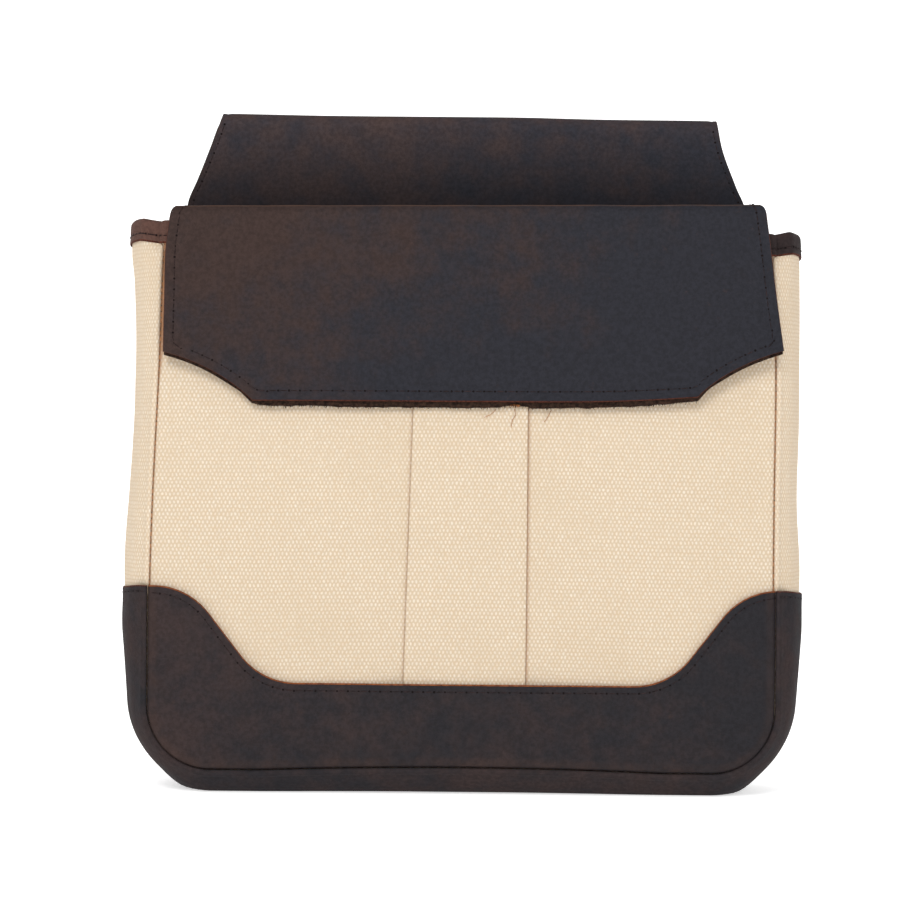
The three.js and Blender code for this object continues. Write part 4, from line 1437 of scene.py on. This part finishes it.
def along_paths(name, tree, paths, values):
    """A plain mesh made by a tree along paths of places and outward directions."""
    points = []
    outs = []
    edges = []
    for path in paths:
        edges += [(len(points) + k, len(points) + k + 1) for k in range(len(path) - 1)]
        for place, out in path:
            points.append(placed(place))
            outs += list(out)
    lines = bpy.data.meshes.new(name + "_path")
    lines.from_pydata(points, edges, [])
    lines.attributes.new("out", "FLOAT_VECTOR", "POINT").data.foreach_set("vector", outs)
    carrier = linked(bpy.data.objects.new(name + "_path", lines))
    modifier = carrier.modifiers.new("made", "NODES")
    modifier.node_group = tree
    for socket in tree.interface.items_tree:
        if socket.in_out == "INPUT" and socket.name in values:
            modifier[socket.identifier] = values[socket.name]
    graph = bpy.context.evaluated_depsgraph_get()
    mesh = bpy.data.meshes.new_from_object(carrier.evaluated_get(graph), depsgraph=graph)
    mesh.name = name
    carrier.modifiers.remove(modifier)
    bpy.data.objects.remove(carrier)
    bpy.data.meshes.remove(lines)
    return finished(name, mesh)


def on_surface(place, route):
    """Places and outward directions along a route of (x, s) over a draped or flat surface."""
    step = 0.0004
    path = []
    for x, s in route:
        across = place(x + step, s) - place(x - step, s)
        onward = place(x, s + step) - place(x, s - step)
        path.append((place(x, s), across.cross(onward).normalized()))
    return path


def flap_stitch_route():
    inset = FLAP_STITCH_IN
    levels = evenly(inset, FLAP_STITCH_END, 140)
    left = [(-flap_edge("left", s, inset), s) for s in levels[::-1]]
    right = [(flap_edge("right", s, inset), s) for s in levels]
    bottom = [(x, inset) for x in spaced(left[-1][0], right[0][0], 60)[:-1]]
    return left + bottom + right


def patch_stitch_route():
    route = []
    for x in evenly(-PATCH_STITCH_HALF, PATCH_STITCH_HALF, 240):
        down = Vector((patch_slope(x), -1.0)).normalized() * PATCH_STITCH_IN
        route.append((x + down.x, patch_top(x) + down.y))
    return route


def loop_stitch_routes():
    routes = []
    for start, end in LOOP_STITCH_RUNS:
        levels = evenly(start, end, 60)
        for side, sign in (("left", -1), ("right", 1)):
            routes.append([(sign * (loop_edge(side, s) - LOOP_STITCH_IN), s) for s in levels])
    foot = loop_way.length - LOOP_FOOT_STITCH["up"]
    routes.append([(x, foot) for x in evenly(LOOP_FOOT_STITCH["left"], LOOP_FOOT_STITCH["right"], 100)])
    return routes


def row_path(rows, i, start, end):
    """The line along one row of a strip's outer face."""
    path = []
    for k in range(start, end):
        here, back = rows[i][k][:2]
        across = rows[i][k + 1][0] - rows[i][k - 1][0]
        onward = rows[i + 1][k][0] - rows[i - 1][k][0]
        out = across.cross(onward).normalized()
        if out.dot(here - back) < 0:
            out.negate()
        path.append((here, out))
    return path


def guard_stitch_paths(rows):
    near_top = STITCH_STEPS.index(GUARD_STITCH_IN)
    start = GUARD_STITCH_COLUMNS[0]
    end = len(rows[0]) + GUARD_STITCH_COLUMNS[1]
    return [row_path(rows, i, start, end) for i in (near_top, len(rows) - 1 - near_top)]


def seam_thread_path(sign):
    name = side_name(sign)
    path = []
    for z in evenly(PATCH_TIP - SEAM_THREAD["below"], MOUTH[name] - BINDING_LEG, 90):
        place = (sign * (half_width(name, z) + SEAM_THREAD["out"]), FRONT_Y - SEAM_THREAD["ahead"], z)
        path.append((Vector(place), Vector((0.0, -1.0, 0.0))))
    return path


def fibre_path(places):
    """A fibre lying on the front of the canvas."""
    path = []
    for x, z in smooth_through([Vector(place) for place in places], 6):
        in_band = band_left(z) < x < BAND_RIGHT
        lift = BAND_LIFT + FOLD_CLOTH / 2 if in_band else CANVAS / 2
        y = front_y(x, z) - lift + pleat_press(x, z) - FIBRE_STAND
        path.append((Vector((x, y, z)), Vector((0.0, -1.0, 0.0))))
    return path


def stitched(name, paths, size, thread):
    return along_paths(name, running_stitch, paths, {**size, "Thread": thread, "Hole": needle_hole_shade})


def fuzzed(name, run, size, fibre):
    """Short fibres along the lower edge of the flap's lining."""
    path = []
    for x in spaced(**run):
        path.append((flap_place(x, -FUZZ_DOWN * lining_proud(x), FLAP_LEATHER + GAP, False), FUZZ_OUT))
    return along_paths(name, suede_fuzz, [path], {**size, "Fibre": fibre})


pieces = {}
pieces["front_panel"] = front_panel()
pieces["back_panel"] = back_panel()
pieces["gusset"] = gusset()
pieces["gusset_guard"], guard_rows = gusset_guard()
pieces["base_patch"] = base_patch()
pieces["mouth_binding"], binding_path = mouth_binding()
pieces["flap"] = flap()
pieces["flap_lining"] = flap_lining()
pieces["belt_loop"] = belt_loop()

running_stitch = stitch_tree()
laid_thread = thread_tree()
suede_fuzz = fuzz_tree()
sewing = {
    "flap_stitches": [on_surface(flap_place, flap_stitch_route())],
    "base_patch_stitches": [on_surface(patch_point, patch_stitch_route())],
    "gusset_guard_stitches": guard_stitch_paths(guard_rows),
    "mouth_binding_stitches": [binding_path],
    "belt_loop_stitches": [on_surface(loop_place, route) for route in loop_stitch_routes()],
}
trims = {name: stitched(name, paths, STITCH, sewing_thread) for name, paths in sewing.items()}
trims["seam_threads"] = stitched(
    "seam_threads", [seam_thread_path(-1), seam_thread_path(1)], SEAM_STITCH, seam_thread)
# Dark fuzz along the lining's hem, which also stands in for the soft edge of the shade beneath it
trims["flap_lining_fuzz"] = fuzzed("flap_lining_fuzz", FUZZ_RUN, FUZZ, shaded_dark_suede)
trims["flap_lining_tuft"] = fuzzed("flap_lining_tuft", TUFT_RUN, TUFT, loose_fibre)
trims["loose_fibres"] = along_paths(
    "loose_fibres", laid_thread, [fibre_path(places) for places in LOOSE_FIBRES],
    {"Radius": FIBRE_RADIUS, "Thread": loose_fibre})

for node_name, piece in pieces.items():
    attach(piece, "root")
    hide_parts(node_name)
for piece in trims.values():
    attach(piece, "root")


# Stage


def stage_floor():
    """White paper that runs back from under the bag and curves up behind it."""
    half = PAPER["half"]
    radius = PAPER["bend_radius"]
    rows = [(-half, 0.0), (PAPER["bend_start"], 0.0)]
    for angle in spaced(0.0, math.pi / 2, PAPER["bend_steps"]):
        rows.append((PAPER["bend_start"] + radius * math.sin(angle), radius * (1 - math.cos(angle))))
    rows.append((PAPER["bend_start"] + radius, PAPER["top"]))
    points = [(x, y, z) for y, z in rows for x in (-half, half)]
    faces = [(2 * k, 2 * k + 1, 2 * k + 3, 2 * k + 2) for k in range(len(rows) - 1)]
    mesh = bpy.data.meshes.new("paper_sweep")
    mesh.from_pydata(points, [], faces)
    mesh.materials.append(floor_finish())
    return finished("paper_sweep", mesh)


def soft_light(name, place, size, power):
    lamp = bpy.data.lights.new(name, "AREA")
    lamp.shape = "DISK"
    lamp.size = size
    lamp.energy = power
    made = linked(bpy.data.objects.new(name, lamp))
    made.location = place
    made.rotation_euler = (Vector(LIGHT_AIM) - Vector(place)).to_track_quat("-Z", "Y").to_euler()


stage_floor()
soft_light("key", place=(-0.4, -2.0, 1.5), size=0.8, power=26.4)
soft_light("fill", place=(1.2, -1.4, 0.9), size=1.6, power=2.6)

world = bpy.data.worlds.new("white_room")
world.use_nodes = True
room = world.node_tree.nodes["Background"]
room.inputs["Color"].default_value = (1.0, 1.0, 1.0, 1.0)
room.inputs["Strength"].default_value = ROOM_LIGHT
bpy.context.scene.world = world
bpy.context.scene.view_settings.view_transform = "Standard"

camera_data = bpy.data.cameras.new("camera")
camera_data.sensor_width = SENSOR_MM
camera_data.lens = CAMERA_LENS_MM
camera = linked(bpy.data.objects.new("camera", camera_data))
camera.location = CAMERA_PLACE
level_view = Matrix.Rotation(math.pi / 2, 3, "X")
camera.rotation_euler = (level_view @ Matrix.Rotation(CAMERA_ROLL, 3, "Z")).to_euler()
bpy.context.scene.camera = camera
